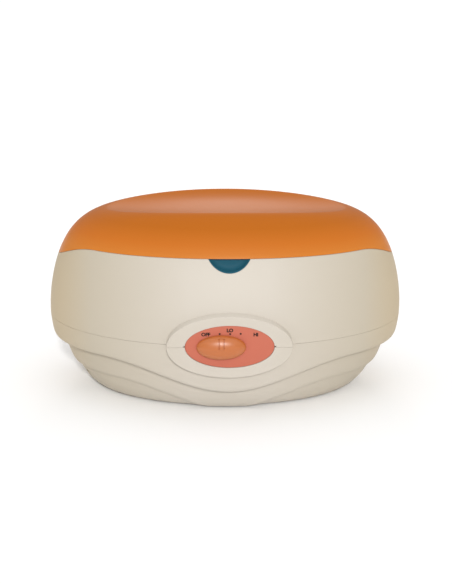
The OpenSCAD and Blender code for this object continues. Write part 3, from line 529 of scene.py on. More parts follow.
upper_rings = [ledge_ring(LEDGE_IN, LEDGE_Z), ledge_ring(LEDGE_OUT, LEDGE_Z),
               upper_ring(1, WALL, WEB_DROP), upper_ring(1, WALL)]
upper_rings += [upper_ring(1 - step / BAND_STEPS) for step in range(BAND_STEPS)]
upper_rings += [ring(PARTING_Z + GROOVE_H), ring(PARTING_Z + GROOVE_H, GROOVE_DEEP),
                ring(PARTING_Z, GROOVE_DEEP)]
upper_rings += [upper_ring(share, WALL, WEB_DROP + 1.5 * WALL) for share in (0, 0.3, 0.6, 1)]
upper_rings += [ledge_ring(LEDGE_OUT, LEDGE_Z - WALL), ledge_ring(LEDGE_IN, LEDGE_Z - WALL)]
upper = loft("upper_casing", upper_rings, capped=False,
             rounded={0: LEDGE_SOFT, 3: RIM_SOFT_IN, 4: RIM_SOFT})

# %% [markdown]
# ## The lower casing
# Two wavy edges run round the lower casing: low at the front, high at the ends. Under the
# first the casing steps in by about ten millimetres. Under the second it steps in a little
# more at the ends, and that step fades out towards the front.

# %% Lower casing
STEP_IN, STEP_IN2 = 10.5, 4
WAVE_LOW, WAVE_RISE, WAVE_REACH, WAVE_PITCH = 28, 30.5, 135, 29
EDGE_ROUND, EDGE_ROUND_H = 1.6, 6
LEAST_FOOT, LEAST_FADE = 0.8, 0.04
INSIDE_UP, INSIDE_ROOM = 4, 2
FLOOR_TOP = FLOOR_Z + WALL
SOFT_STEPS = (1, 0.7, 0.45, 0.25, 0.12, 0.04, 0)
EVEN_STEPS = (0.25, 0.5, 0.75)


def wave(turn):
    """Height of the first edge."""
    x = min(WAVE_REACH, BODY_W / 2 * math.sin(turn))
    return WAVE_LOW + WAVE_RISE * math.sin(math.pi / 2 * x / WAVE_REACH) ** 2


def wave2(turn):
    """Height of the second edge."""
    return max(FLOOR_Z + LEAST_FOOT, wave(turn) - WAVE_PITCH)


def fade(turn):
    """How much of the second step is left: 1 at the ends and almost none in front."""
    return max(LEAST_FADE, min(1.0, (wave(turn) - WAVE_PITCH - FLOOR_Z) / EDGE_ROUND_H))


def rounding(t):
    return EDGE_ROUND * (1 - math.sqrt(1 - (1 - t) ** 2))


def foot_in(turn):
    return STEP_IN + STEP_IN2 * fade(turn)


def inner_rings(depth):
    """Rings from the floor up to the parting line, at a depth behind the skin."""
    floor = FLOOR_Z + depth
    over = EDGE_ROUND_H + INSIDE_ROOM
    return [
        ring(floor, lambda a: depth + foot_in(a), -depth),
        ring(lambda a: max(wave2(a) + INSIDE_UP, floor + INSIDE_ROOM),
             lambda a: depth + foot_in(a), -depth),
        ring(lambda a: max(wave2(a) + over, floor + 2 * INSIDE_ROOM), depth + STEP_IN, -depth),
        ring(lambda a: wave(a) + INSIDE_UP, depth + STEP_IN, -depth),
        ring(lambda a: wave(a) + over, depth, -depth),
        ring(PARTING_Z, depth)]


lower_rings = inner_rings(WALL)
lower_rings += [ring(PARTING_Z, GROOVE_DEEP), ring(PARTING_Z - GROOVE_H, GROOVE_DEEP),
                ring(PARTING_Z - GROOVE_H)]
lower_rings += rings_between(PARTING_Z, lambda a: wave(a) + EDGE_ROUND_H, EVEN_STEPS)
lower_rings += [ring(lambda a, t=t: wave(a) + EDGE_ROUND_H * t, rounding(t)) for t in SOFT_STEPS]
lower_rings += [ring(wave, STEP_IN)]
lower_rings += rings_between(wave, lambda a: wave2(a) + EDGE_ROUND_H * fade(a), EVEN_STEPS,
                             STEP_IN)
lower_rings += [
    ring(lambda a, t=t: wave2(a) + EDGE_ROUND_H * t * fade(a),
         lambda a, t=t: STEP_IN + rounding(t) * fade(a)) for t in SOFT_STEPS]
lower_rings += rings_between(FLOOR_Z, wave2, (1, 0.75, 0.5, 0.3, 0.15, 0.06, 0.02, 0), foot_in)
lower = loft("lower_casing", lower_rings)

# %% [markdown]
# ## The control boss
# In front, the casing has a flat oval boss with a soft edge. It crosses the parting line, so
# half of it is moulded on the upper casing and half on the lower. An oval prism is added. Its
# back is stretched upwards, so that its top leans back and meets the body gently. Its front
# edge is bevelled. The parting line's groove is cut round it with a thin slab that has a
# smaller oval taken out. Each casing is then joined to the half that lies on its side.

# %% Upright ovals
BOSS_W, BOSS_H, BOSS_Z, BOSS_OUT, BOSS_WALL = 126.5, 66.5, 81.5, 122, 2.4
BOSS_LEAN, BOSS_LOWER, BOSS_SOFT = 6, 1.7, 0.6
PLATE_W, PLATE_H, PLATE_OUT, PLATE_GAP = 89.5, 44.5, 121.7, 0.2
FACE_BACK = BOSS_OUT - BOSS_WALL
SWITCH_BACK = 102.1


def add_oval(width, height, near, far, x=0.0, z=BOSS_Z):
    """An upright oval prism. Near and far are distances in front of the middle plane."""
    bpy.ops.mesh.primitive_cylinder_add(
        vertices=SIDES, radius=0.5, depth=1, rotation=(math.pi / 2, 0, 0),
        location=point(x, MIDDLE_Y - (near + far) / 2, z),
        scale=point(width, height, near - far))
    bpy.ops.object.transform_apply(location=True, rotation=True, scale=True)
    return bpy.context.object


def in_front(y):
    """A test for the edges or faces that lie in one plane facing the front."""
    level = (MIDDLE_Y - y) * MM
    return lambda item: all(abs(vert.co.y - level) < 1e-5 for vert in item.verts)


def bevel_front(obj, y, width, segments=4):
    """Rounds the edges of an upright piece that lie in its front plane."""
    edit(obj)
    pick("EDGE", in_front(y))
    bpy.ops.mesh.bevel(offset=width * MM, segments=segments)
    leave_edit()


def copy_of(obj):
    """A copy of an object, with its own mesh."""
    choose(obj)
    bpy.ops.object.duplicate()
    return bpy.context.object


def keep_side(obj, height, keep_upper):
    """Cuts an object level at a height and closes the cut."""
    edit(obj)
    bpy.ops.mesh.select_all(action="SELECT")
    bpy.ops.mesh.bisect(plane_co=point(0, 0, height), plane_no=(0, 0, 1), use_fill=True,
                        clear_inner=keep_upper, clear_outer=not keep_upper)
    leave_edit()


# %% Boss
SLAB_REACH = 5

boss = add_oval(BOSS_W, BOSS_H - BOSS_LOWER, BOSS_OUT, SWITCH_BACK, z=BOSS_Z - BOSS_LOWER / 2)
edit(boss)
pick("FACE", in_front(SWITCH_BACK))
bpy.ops.transform.resize(value=(1, 1, 1 + BOSS_LEAN / BOSS_H),
                         center_override=point(0, 0, BOSS_Z - BOSS_H / 2))
leave_edit()
bevel_front(boss, BOSS_OUT, BOSS_SOFT)
slab = add_block((-BOSS_W, MIDDLE_Y - BOSS_OUT - SLAB_REACH, PARTING_Z - GROOVE_H),
                 (BOSS_W, MIDDLE_Y - SWITCH_BACK + SLAB_REACH, PARTING_Z + GROOVE_H))
combine(slab, add_oval(BOSS_W - 2 * GROOVE_DEEP, BOSS_H, BOSS_OUT - GROOVE_DEEP,
                       SWITCH_BACK - 2 * SLAB_REACH))
combine(boss, slab)
upper_boss = copy_of(boss)
for casing, half in ((upper, upper_boss), (lower, boss)):
    keep_side(half, PARTING_Z, casing is upper)
    combine(casing, half, "UNION")
for casing in (upper, lower):
    combine(casing, add_oval(BOSS_W - 2 * BOSS_WALL, BOSS_H - 2 * BOSS_WALL, FACE_BACK,
                             SWITCH_BACK - OVERLAP))
    combine(casing, add_oval(PLATE_W + 2 * PLATE_GAP, PLATE_H + 2 * PLATE_GAP,
                             BOSS_OUT + OVERLAP, FACE_BACK - OVERLAP))
tell(upper, lower)

# %% [markdown]
# ## The finger recess
# Two fingers reach into a half-round recess under the lid's edge. A cup of teal plastic lines
# it. The cup starts as a rod. Its front is inset and pushed back to leave a thin wall, and the
# corner inside is rounded like a bowl, so that a finger slides in. An intersection with the
# casing's form gives the cup the same curved front as the casing.

# %% Finger insert
LIFT_Z = RIM_Z + LIFT_UP
LIFT_BACK = half_depth(RIM_Z) - LIFT_DEPTH
CUP_EDGE, BOWL_R = 0.7, 5.5


def push(x, y, z):
    """Extrudes the selected faces and moves the new ones by some millimetres."""
    bpy.ops.mesh.extrude_region_move(TRANSFORM_OT_translate={"value": point(x, y, z)})


def soften(obj, width, angle, segments=2, shading=32):
    """Rounds the edges that are sharper than an angle in degrees, then shades smooth."""
    apply_modifier(obj, "BEVEL", width=width * MM, segments=segments,
                   angle_limit=math.radians(angle))
    smooth(obj, shading)


combine(upper, add_rod(LIFT_R, (0, MIDDLE_Y - BODY_D, LIFT_Z), BODY_D - LIFT_BACK, "Y", SIDES))

insert = add_rod(LIFT_R - LIFT_GAP, (0, MIDDLE_Y - BODY_D / 2, LIFT_Z),
                 BODY_D / 2 - LIFT_BACK - LIFT_GAP, "Y", SIDES)
insert.name = "recess_cup"
edit(insert)
pick("FACE", in_front(BODY_D / 2))
bpy.ops.mesh.inset(thickness=CUP_EDGE * MM, depth=0)
push(0, BODY_D / 2 - LIFT_BACK - LIFT_GAP - LIFT_WALL, 0)
pick("EDGE", in_front(LIFT_BACK + LIFT_GAP + LIFT_WALL))
bpy.ops.mesh.bevel(offset=BOWL_R * MM, segments=8)
leave_edit()
combine(insert, loft("form", [ring(z, LIFT_GAP) for z in (140, 146, 150, 154, 158, 161,
                                                          RIM_Z - LIFT_GAP)]), "INTERSECT")
soften(insert, 0.25, 40)
tell(insert)

# %% [markdown]
# ## The dial plate
# A coral plate fills the boss. A wider flange behind it bears on the back of the casing's
# face, two posts carry the switch, two rails guide the slider, and the slider's stem passes
# through a slot in the middle. At the plate's tips, two small notches go through casing and
# flange, where a tool can prise the plate out.

# %% Dial plate
FLANGE_BACK = FACE_BACK - 1.4
FLANGE_OVER, SUNK = 3, 0.5
CARRIAGE_BACK = FLANGE_BACK - 3.3
PLATE_POST_X, POST_D = 38, 7
RAIL_X, RAIL_Z, RAIL_ROOM, RAIL_T = 30, 11.3, 1.4, 2
STEM_W, STEM_H, KNOB_TRAVEL, SLIDE_GAP = 8, 6, 17, 0.3
NOTCH_R, NOTCH_OUT = 1.4, 0.9


def two_places(x, y, z, about=0):
    """Two places, x to the left and to the right of a middle."""
    return [(about + side * x, MIDDLE_Y + y, z) for side in (-1, 1)]


def two_rods(radius, x, y, z, length, axis="Y", vertices=32, about=0):
    """Two equal rods that start at mirrored places."""
    return [add_rod(radius, place, length, axis, vertices)
            for place in two_places(x, y, z, about)]


plate = add_oval(PLATE_W, PLATE_H, PLATE_OUT, FACE_BACK - SUNK)
plate.name = "dial_face"
bevel_front(plate, PLATE_OUT, 0.5, 3)
combine(plate, add_oval(PLATE_W + 2 * FLANGE_OVER, PLATE_H + 2 * FLANGE_OVER, FACE_BACK,
                        FLANGE_BACK), "UNION")
posts = two_rods(POST_D / 2, PLATE_POST_X, -FLANGE_BACK - SUNK, BOSS_Z,
                 FLANGE_BACK + SUNK - SWITCH_BACK, vertices=48)
# The upper rail has more room over the carriage, because the detent spring lies between them.
rails = [add_block((-RAIL_X, MIDDLE_Y - FLANGE_BACK - SUNK, middle - RAIL_T / 2),
                   (RAIL_X, MIDDLE_Y - CARRIAGE_BACK, middle + RAIL_T / 2))
         for middle in (BOSS_Z - RAIL_Z, BOSS_Z + RAIL_Z + RAIL_ROOM)]
for post, rail in zip(posts, rails):
    combine(plate, post, "UNION")
    combine(plate, rail, "UNION")
slot_w, slot_h = (KNOB_TRAVEL + STEM_W) / 2 + SLIDE_GAP, STEM_H / 2 + SLIDE_GAP
combine(plate, add_block((-slot_w, MIDDLE_Y - BOSS_OUT - OVERLAP, BOSS_Z - slot_h),
                         (slot_w, MIDDLE_Y - FLANGE_BACK + OVERLAP, BOSS_Z + slot_h)))
for cut in (upper, plate):
    combine(cut, two_rods(NOTCH_R, PLATE_W / 2 + NOTCH_OUT, -BOSS_OUT - OVERLAP,
                          PARTING_Z + NOTCH_R / 2, BOSS_OUT - FLANGE_BACK + 2 * OVERLAP,
                          vertices=3))
smooth(plate)
tell(plate)

# %% [markdown]
# ## The dial's lettering
# Three words and three dots are printed over the slider. A text object is placed on the plate,
# given a trace of thickness and made a mesh, and the dots are short rods. They stand a twentieth
# of a millimetre off the plate, about as much as a thick screen print.

# %% Lettering
LETTER_H, PRINT_T = 5.0, 0.05
LETTER_BOLDER, DOT_R = 0.26, 1.0


def add_word(word, x, z):
    """A printed word, centred at a place on the plate."""
    bpy.ops.object.text_add(location=point(x, MIDDLE_Y - PLATE_OUT, z),
                            rotation=(math.pi / 2, 0, 0))
    text = bpy.context.object
    for key, value in {"body": word, "size": LETTER_H * MM, "extrude": PRINT_T * MM,
                       "offset": LETTER_BOLDER * MM, "align_x": "CENTER",
                       "align_y": "CENTER"}.items():
        setattr(text.data, key, value)
    bpy.ops.object.convert(target="MESH")
    bpy.ops.object.transform_apply(location=True, rotation=True, scale=False)
    return bpy.context.object


prints = [add_word("OFF", -24, 94.6), add_word("LO", 0, 98.8), add_word("HI", 25.9, 94.3)]
for x, z in ((-10.1, 95.3), (0.3, 95.2), (10.8, 95.4)):
    prints.append(add_rod(DOT_R, (x, MIDDLE_Y - PLATE_OUT - PRINT_T, z), 2 * PRINT_T, "Y", 24))
for piece, name in zip(prints, ("word_off", "word_lo", "word_hi", "dot_1", "dot_2", "dot_3")):
    piece.name = name
print("lettering:", len(prints), "pieces")

# %% [markdown]
# ## The slider's cap
# The cap is a low oval dome for one or two fingertips. A thumb pushes against a ridge between
# two grooves in its middle. The dome is a disc whose face is extruded and narrowed in small
# steps that follow a quarter ellipse. The same dome made a little larger shapes the ridge, and
# made a little smaller it keeps the grooves shallow.

# %% Slider cap
KNOB_W, KNOB_H, KNOB_RISE, KNOB_X = 49.5, 25, 11, -KNOB_TRAVEL / 2
CAP_BACK = PLATE_OUT + SLIDE_GAP
CAP_SIDE, RIDGE_UP, GROOVE_IN = 1.5, 0.5, 1.2
RIDGE_W, RIDGE_LOW, GROOVE_X, GROOVE_W, GROOVE_LOW, GRIP_TOP = 3.4, 0.8, 2.5, 1.3, 1.2, 10.8
# The last step ends short of the pole, so that the dome closes with a small flat face.
DOME_STEPS, DOME_SHORT = 14, 0.6


def add_dome(grow):
    """The cap's dome, grown outwards or shrunk by some millimetres."""
    width, height = KNOB_W + 2 * grow, KNOB_H + 2 * grow
    rise = KNOB_RISE - RIDGE_UP + grow
    dome = add_oval(width, height, CAP_BACK + CAP_SIDE, CAP_BACK, KNOB_X)
    edit(dome)
    pick("FACE", in_front(CAP_BACK + CAP_SIDE))
    reach, out = 1.0, CAP_SIDE
    for step in range(1, DOME_STEPS + 1):
        turn = math.pi / 2 * step / (DOME_STEPS + DOME_SHORT)
        higher = CAP_SIDE + (rise - CAP_SIDE) * math.sin(turn)
        push(0, out - higher, 0)
        share = math.cos(turn) / reach
        bpy.ops.transform.resize(value=(share, 1, share),
                                 center_override=point(KNOB_X, 0, BOSS_Z))
        reach, out = math.cos(turn), higher
    leave_edit()
    return dome


def grip_block(x, width, low):
    """A block through the cap's front, from inside it to in front of its top."""
    back = MIDDLE_Y - CAP_BACK - 2
    return add_block((KNOB_X + x - width / 2, back - KNOB_RISE, BOSS_Z + low),
                     (KNOB_X + x + width / 2, back, BOSS_Z + GRIP_TOP))


knob = add_dome(0)
knob.name = "slider_cap"
for side in (-1, 1):
    groove = grip_block(side * GROOVE_X, GROOVE_W, GROOVE_LOW)
    combine(groove, add_dome(-GROOVE_IN))
    combine(knob, groove)
ridge_block = grip_block(0, RIDGE_W, RIDGE_LOW)
combine(ridge_block, add_dome(RIDGE_UP), "INTERSECT")
combine(knob, ridge_block, "UNION")
stem = add_block((KNOB_X - STEM_W / 2, MIDDLE_Y - CAP_BACK - OVERLAP, BOSS_Z - STEM_H / 2),
                 (KNOB_X + STEM_W / 2, MIDDLE_Y - CARRIAGE_BACK, BOSS_Z + STEM_H / 2))
combine(knob, stem, "UNION")
soften(knob, 0.3, 35, shading=40)
tell(knob)

# %% [markdown]
# ## Screw posts, bores and vents
# Inside the casing, four pillars take the long screws that hold both halves together. A wide
# bore under each lets the screw in from below. The floor has seats for the feet and a row of
# slots that let air in. All of it is made of rods and blocks, joined first and then cut.

# %% Upper casing inside
CASE_X, CASE_Y, CASE_SCREW_D, HEAD_SEAT, SCREW_REACH = 147, 28, 4, 66, 16
PILLAR_D, PILLAR_H, RIB_T, RIB_LOWER, TRAY_T = 10, 30, 2.4, 4, 1.2
# A screw's thread presses into its hole, and passes freely through a wider one.
THREAD_FIT, FREE_FIT = 0.05, 0.2
CORNERS = [(s, t) for s in (-1, 1) for t in (-1, 1)]


def four_places(x, y, z):
    """The corners of a rectangle round the middle."""
    return [(s * x, MIDDLE_Y + t * y, z) for s, t in CORNERS]


def four_rods(x, y, radius, low, high, vertices=48):
    """Four upright rods that start at the corners of a rectangle."""
    return [add_rod(radius, place, high - low, "Z", vertices) for place in four_places(x, y, low)]


ribs = []
for s, t in CORNERS:
    left, right = sorted((s * CASE_X, s * BODY_W / 2))
    ribs.append(add_block((left, MIDDLE_Y + t * CASE_Y - RIB_T / 2, PARTING_Z),
                          (right, MIDDLE_Y + t * CASE_Y + RIB_T / 2,
                           PARTING_Z + PILLAR_H - RIB_LOWER)))
ribs = join(ribs)
combine(ribs, loft("form", [ring(PARTING_Z - OVERLAP, WALL / 2),
                            ring(PARTING_Z + PILLAR_H, WALL / 2)]), "INTERSECT")
pillars = join(four_rods(CASE_X, CASE_Y, PILLAR_D / 2, PARTING_Z, PARTING_Z + PILLAR_H))
combine(pillars, ribs, "UNION")
combine(upper, pillars, "UNION")
combine(upper, four_rods(CASE_X, CASE_Y, CASE_SCREW_D / 2 + THREAD_FIT, PARTING_Z - OVERLAP,
                         PARTING_Z + SCREW_REACH + 2 * OVERLAP))
smooth(upper)
tell(upper)

# %% Lower casing inside
SHELL_POST_X, SHELL_POST_Z = 53.5, PARTING_Z - 8
BLOCK_X, BLOCK_Y, BLOCK_SCREW_X, BLOCK_UP = 52, 34, 13, 3
ACCESS_R, SCREW_D, BITE = 4, 3, 12
FOOT_X, FOOT_Y, FOOT_D, FOOT_SEAT = 85, 42, 16, 1.2
VENT_W, VENT_LEN, VENT_PITCH, VENTS = 3, 40, 9, range(-4, 5)

pillars = join(four_rods(CASE_X, CASE_Y, PILLAR_D / 2 + 1, FLOOR_Z, PARTING_Z - TRAY_T))
combine(pillars, loft("form", inner_rings(WALL / 2)), "INTERSECT")
combine(lower, pillars, "UNION")
posts = two_rods(POST_D / 2, SHELL_POST_X, -FACE_BACK - SUNK, SHELL_POST_Z,
                 FACE_BACK + SUNK - SWITCH_BACK, vertices=48)
posts += two_rods(POST_D / 2, BLOCK_SCREW_X, BLOCK_Y, FLOOR_TOP - SUNK, BLOCK_UP + SUNK, "Z",
                  about=BLOCK_X)
combine(lower, posts, "UNION")
bores = four_rods(CASE_X, CASE_Y, ACCESS_R, -OVERLAP, HEAD_SEAT)
bores += four_rods(FOOT_X, FOOT_Y, FOOT_D / 2 + FREE_FIT, -OVERLAP, FLOOR_Z + FOOT_SEAT)
bores += two_rods(SCREW_D / 2 + THREAD_FIT, SHELL_POST_X, -SWITCH_BACK - BITE, SHELL_POST_Z,
                  BITE + OVERLAP)
bores += [add_block((k * VENT_PITCH - VENT_W / 2, MIDDLE_Y - VENT_LEN / 2, 0),
                    (k * VENT_PITCH + VENT_W / 2, MIDDLE_Y + VENT_LEN / 2, FLOOR_TOP + OVERLAP))
          for k in VENTS]
combine(lower, bores)
holes = four_rods(CASE_X, CASE_Y, CASE_SCREW_D / 2 + FREE_FIT, HEAD_SEAT - OVERLAP, PARTING_Z)
holes += two_rods(SCREW_D / 2 + THREAD_FIT, BLOCK_SCREW_X, BLOCK_Y, FLOOR_TOP,
                  BLOCK_UP + OVERLAP, "Z", about=BLOCK_X)
combine(lower, holes)
tell(lower)

# %% [markdown]
# ## The mains inlet
# The mains lead is detachable, so the back has a flat pad with a socket in it: a thin flange
# with rounded corners, held by two screws, and a deep well with three blades. Each is a block
# whose corner edges are bevelled round, joined to the others or cut out of them.

# %% Inlet pad
INLET_Z, INLET_OUT, INLET_PITCH = 47, 118, 40
PAD_W, PAD_H, PAD_WALL, PAD_DEEP = 60, 30, 2.4, 14
INLET_W, INLET_H, INLET_LEN, SOCKET_DEPTH, SOCKET_WALL = 27, 20, 24, 16, 1.8
FLANGE_W, FLANGE_H, FLANGE_T = 50, 24, 2


def add_plaque(width, height, low, high, corner):
    """An upright block with rounded corners, between two distances behind the middle plane."""
    plaque = add_block((-width / 2, MIDDLE_Y + low, INLET_Z - height / 2),
                       (width / 2, MIDDLE_Y + high, INLET_Z + height / 2))
    edit(plaque)
    pick("EDGE", lambda edge: abs(edge.verts[0].co.y - edge.verts[1].co.y) > 1e-4)
    bpy.ops.mesh.bevel(offset=corner * MM, segments=8)
    leave_edit()
    return plaque


pad = add_plaque(PAD_W, PAD_H, INLET_OUT - PAD_DEEP, INLET_OUT, corner=5)
# The pad's outer plane lies behind the middle plane, so its distance in front is below zero.
bevel_front(pad, -INLET_OUT, 0.8, 3)
combine(lower, pad, "UNION")
combine(lower, add_plaque(PAD_W - 2 * PAD_WALL, PAD_H - 2 * PAD_WALL, INLET_OUT - 2 * PAD_DEEP,
                          INLET_OUT - PAD_WALL, corner=4))
opening = add_plaque(INLET_W + 2 * FREE_FIT, INLET_H + 2 * FREE_FIT, INLET_OUT - PAD_DEEP,
                     INLET_OUT + OVERLAP, corner=1)
combine(lower, [opening] + two_rods(SCREW_D / 2 + THREAD_FIT, INLET_PITCH / 2, INLET_OUT - BITE,
                                    INLET_Z, BITE + OVERLAP))
smooth(lower)
tell(lower)

# %% Inlet and blades
BLADES = ((-7, -1.5), (7, -1.5), (0, 2.5))
BLADE_W, BLADE_H, BLADE_END = 2, 4, 7


def add_blades():
    """The three blades, through the inlet's back wall and on both sides of it."""
    back, front = INLET_OUT - INLET_LEN - BLADE_END, INLET_OUT - SOCKET_DEPTH + BLADE_END
    return join([add_block((x - BLADE_W / 2, MIDDLE_Y + back, INLET_Z + z - BLADE_H / 2),
                           (x + BLADE_W / 2, MIDDLE_Y + front, INLET_Z + z + BLADE_H / 2))
                 for x, z in BLADES])


inlet = add_plaque(INLET_W, INLET_H, INLET_OUT - INLET_LEN, INLET_OUT + SUNK, corner=0.8)
inlet.name = "inlet_socket"
flange = add_plaque(FLANGE_W, FLANGE_H, INLET_OUT, INLET_OUT + FLANGE_T, corner=4)
combine(inlet, flange, "UNION")
well = add_plaque(INLET_W - 2 * SOCKET_WALL, INLET_H - 2 * SOCKET_WALL,
                  INLET_OUT - SOCKET_DEPTH, INLET_OUT + FLANGE_T + OVERLAP, corner=2.5)
combine(inlet, [well] + two_rods(SCREW_D / 2 + FREE_FIT, INLET_PITCH / 2, INLET_OUT - OVERLAP,
                                 INLET_Z, FLANGE_T + 2 * OVERLAP))
combine(inlet, add_blades())
soften(inlet, 0.3, 60)
blades = add_blades()
blades.name = "inlet_blades"
apply_modifier(blades, "BEVEL", width=0.35 * MM, segments=2)
smooth(blades)
tell(inlet, blades)

# %% [markdown]
# ## The pan
# The pan is deep drawn from one sheet of aluminium: an oval well with a wide radius round its
# floor and a flange that lies on the casing's ledge. Rings run from the floor up the inside,
# over the flange and down the outside again. Welded studs under it hold the heater and draw the
# pan down.

# %% Pan
PAN_TOP, PAN_DEPTH, PAN_TAPER, PAN_EDGE_R, PAN_SHEET, PAN_FLANGE = 162.7, 100, 7, 12, 1.2, 12
PAN_MOUTH, MOUTH_SOFT, FLANGE_SOFT, PAN_BENDS = 1.5, 1.5, 0.4, 6
PAN_FLOOR, PAN_UNDER = PAN_TOP - PAN_DEPTH, PAN_TOP - PAN_DEPTH - PAN_SHEET
STUD_X, STUD_Y, STUD_D, STUD_END = 100, 35, 5, 38
CLAMP_X, CLAMP_STUD_D, CLAMP_STUD_END = 45, 4, 49.2


def pan_ring(grow, z):
    t = min(1.0, max(0.0, (PAN_TOP - z) / PAN_DEPTH))
    return oval(PAN_W / 2 - PAN_TAPER * t + grow, PAN_D / 2 - PAN_TAPER * t + grow, z, PAN_SQUARE)


bends = [math.pi / 2 * step / PAN_BENDS for step in range(PAN_BENDS + 1)]
pan_rings = [pan_ring(-60, PAN_FLOOR), pan_ring(-30, PAN_FLOOR)]
pan_rings += [pan_ring(-PAN_EDGE_R * (1 - math.sin(b)),
                       PAN_FLOOR + PAN_EDGE_R * (1 - math.cos(b))) for b in bends]
pan_rings += [pan_ring(0, PAN_TOP - h) for h in (60, 30, 12, 2)]
mouth = len(pan_rings)
pan_rings += [pan_ring(PAN_MOUTH, PAN_TOP), pan_ring(PAN_FLANGE, PAN_TOP),
              pan_ring(PAN_FLANGE, PAN_TOP - PAN_SHEET),
              pan_ring(PAN_SHEET + 1, PAN_TOP - PAN_SHEET)]
pan_rings += [pan_ring(PAN_SHEET, PAN_TOP - h) for h in (4, 12, 30, 60)]
pan_rings += [pan_ring(PAN_SHEET - PAN_EDGE_R * (1 - math.cos(b)),
                       PAN_UNDER + PAN_EDGE_R * (1 - math.sin(b))) for b in bends]
pan_rings += [pan_ring(-30, PAN_UNDER), pan_ring(-60, PAN_UNDER)]
pan = loft("wax_pan", pan_rings, rounded={mouth: MOUTH_SOFT, mouth + 1: FLANGE_SOFT,
                                          mouth + 2: FLANGE_SOFT})
stud_top = PAN_UNDER + PAN_SHEET / 2
studs = four_rods(STUD_X, STUD_Y, STUD_D / 2, STUD_END, stud_top, 32)
studs += two_rods(CLAMP_STUD_D / 2, CLAMP_X, 0, CLAMP_STUD_END, stud_top - CLAMP_STUD_END, "Z")
combine(pan, studs, "UNION")
smooth(pan)

# %% [markdown]
# ## The guard grille
# A loose plastic grate lies on the pan's floor, so that hands and feet keep clear of the hot
# metal. An oval hoop is lofted, straight bars are cut to the oval and joined to it, and all
# edges are rounded, as on a moulding that is meant for bare skin.

# %% Grille
GRILLE_W, GRILLE_D, GRILLE_H, BAR, BAR_H = 110, 48, 7, 4, 3
BAR_PITCH, BARS = 18, range(-6, 7)


def grille_oval(grow, z):
    return oval(GRILLE_W + grow, GRILLE_D + grow, PAN_FLOOR + z, PAN_SQUARE)


grille = loft("pan_grille", [grille_oval(-BAR, GRILLE_H), grille_oval(0, GRILLE_H),
                             grille_oval(0, 0), grille_oval(-BAR, 0)], capped=False)
low, high = PAN_FLOOR + GRILLE_H - BAR_H, PAN_FLOOR + GRILLE_H
bars = join([add_block((k * BAR_PITCH - BAR / 2, MIDDLE_Y - GRILLE_D, low),
                       (k * BAR_PITCH + BAR / 2, MIDDLE_Y + GRILLE_D, high)) for k in BARS])
rails = join([add_block((-GRILLE_W, MIDDLE_Y + k * GRILLE_D / 2 - BAR / 2, low),
                        (GRILLE_W, MIDDLE_Y + k * GRILLE_D / 2 + BAR / 2, high))
              for k in (-1, 0, 1)])
combine(bars, rails, "UNION")
combine(bars, loft("oval", [grille_oval(-OVERLAP, z) for z in (GRILLE_H - BAR_H - OVERLAP,
                                                               GRILLE_H + OVERLAP)]),
        "INTERSECT")
combine(grille, bars, "UNION")
soften(grille, 0.6, 50)
tell(grille)

# %% [markdown]
# ## Screws and feet
# One pan-head screw is modelled: a disc with a rounded top, a slot, and a shank that ends in a
# short cone. Each kind of screw on the melter is this shape at its own size, copied to its
# places. The feet are soft rubber discs with a rounded lower edge.

# %% Screws
HEAD_ROUND, SLOT_W, SLOT_DEEP, TIP_SHARE = 0.45, 1, 0.55, 0.4


def add_screw(diameter, length, head_d, head_h):
    """A pan-head screw at the origin that points up, its head below the ground."""
    screw = add_rod(head_d / 2, (0, 0, -head_h), head_h, "Z", 40)
    edit(screw)
    low = -head_h * MM
    pick("EDGE", lambda edge: all(abs(vert.co.z - low) < TINY for vert in edge.verts))
    bpy.ops.mesh.bevel(offset=head_h * HEAD_ROUND * MM, segments=4)
    pick("FACE", lambda face: face.normal.z > 0.9)
    bpy.ops.mesh.inset(thickness=(head_d - diameter) / 2 * MM, depth=0)
    push(0, 0, length - diameter / 2)
    push(0, 0, diameter / 2)
    bpy.ops.transform.resize(value=(TIP_SHARE, TIP_SHARE, 1), center_override=(0, 0, 0))
    leave_edit()
    combine(screw, add_block((-head_d, -SLOT_W / 2, -head_h - OVERLAP),
                             (head_d, SLOT_W / 2, head_h * (SLOT_DEEP - 1))))
    smooth(screw)
    return screw


def place_copies(name, model, places, turn=0.0):
    """Turns a model about X, copies it to each place, and joins the copies."""
    copies = []
    for place in places:
        copy = copy_of(model)
        copy.rotation_euler = (math.radians(turn), 0, 0)
        copy.location = point(*place)
        bpy.ops.object.transform_apply(location=True, rotation=True, scale=False)
        copies.append(copy)
    bpy.data.objects.remove(model)
    joined = join(copies)
    joined.name = name
    print(f"{name}: {len(places)} pieces")
    return joined


BRACKET_T, BLOCK_H = 1.2, 14
case_screw = add_screw(CASE_SCREW_D, PARTING_Z - HEAD_SEAT + SCREW_REACH, head_d=7, head_h=2.5)
case_screws = place_copies("long_screws", case_screw, four_places(CASE_X, CASE_Y, HEAD_SEAT))
control_screws, inlet_screws, block_screws = (
    place_copies(name, add_screw(SCREW_D, length, head_d=5.5, head_h=2), places, turn)
    for name, length, turn, places in (
        ("bracket_screws", 11.2, 90,
         [(s * x, MIDDLE_Y - SWITCH_BACK + BRACKET_T, z) for s in (-1, 1)
          for x, z in ((PLATE_POST_X, BOSS_Z), (SHELL_POST_X, SHELL_POST_Z))]),
        ("socket_screws", 12, 90, two_places(INLET_PITCH / 2, INLET_OUT + FLANGE_T, INLET_Z)),
        ("terminal_screws", 16.5, 180,
         two_places(BLOCK_SCREW_X, BLOCK_Y, FLOOR_TOP + BLOCK_UP + BLOCK_H, BLOCK_X))))

# %% Feet
FOOT_RING, FOOT_HOLLOW = 3, 0.5

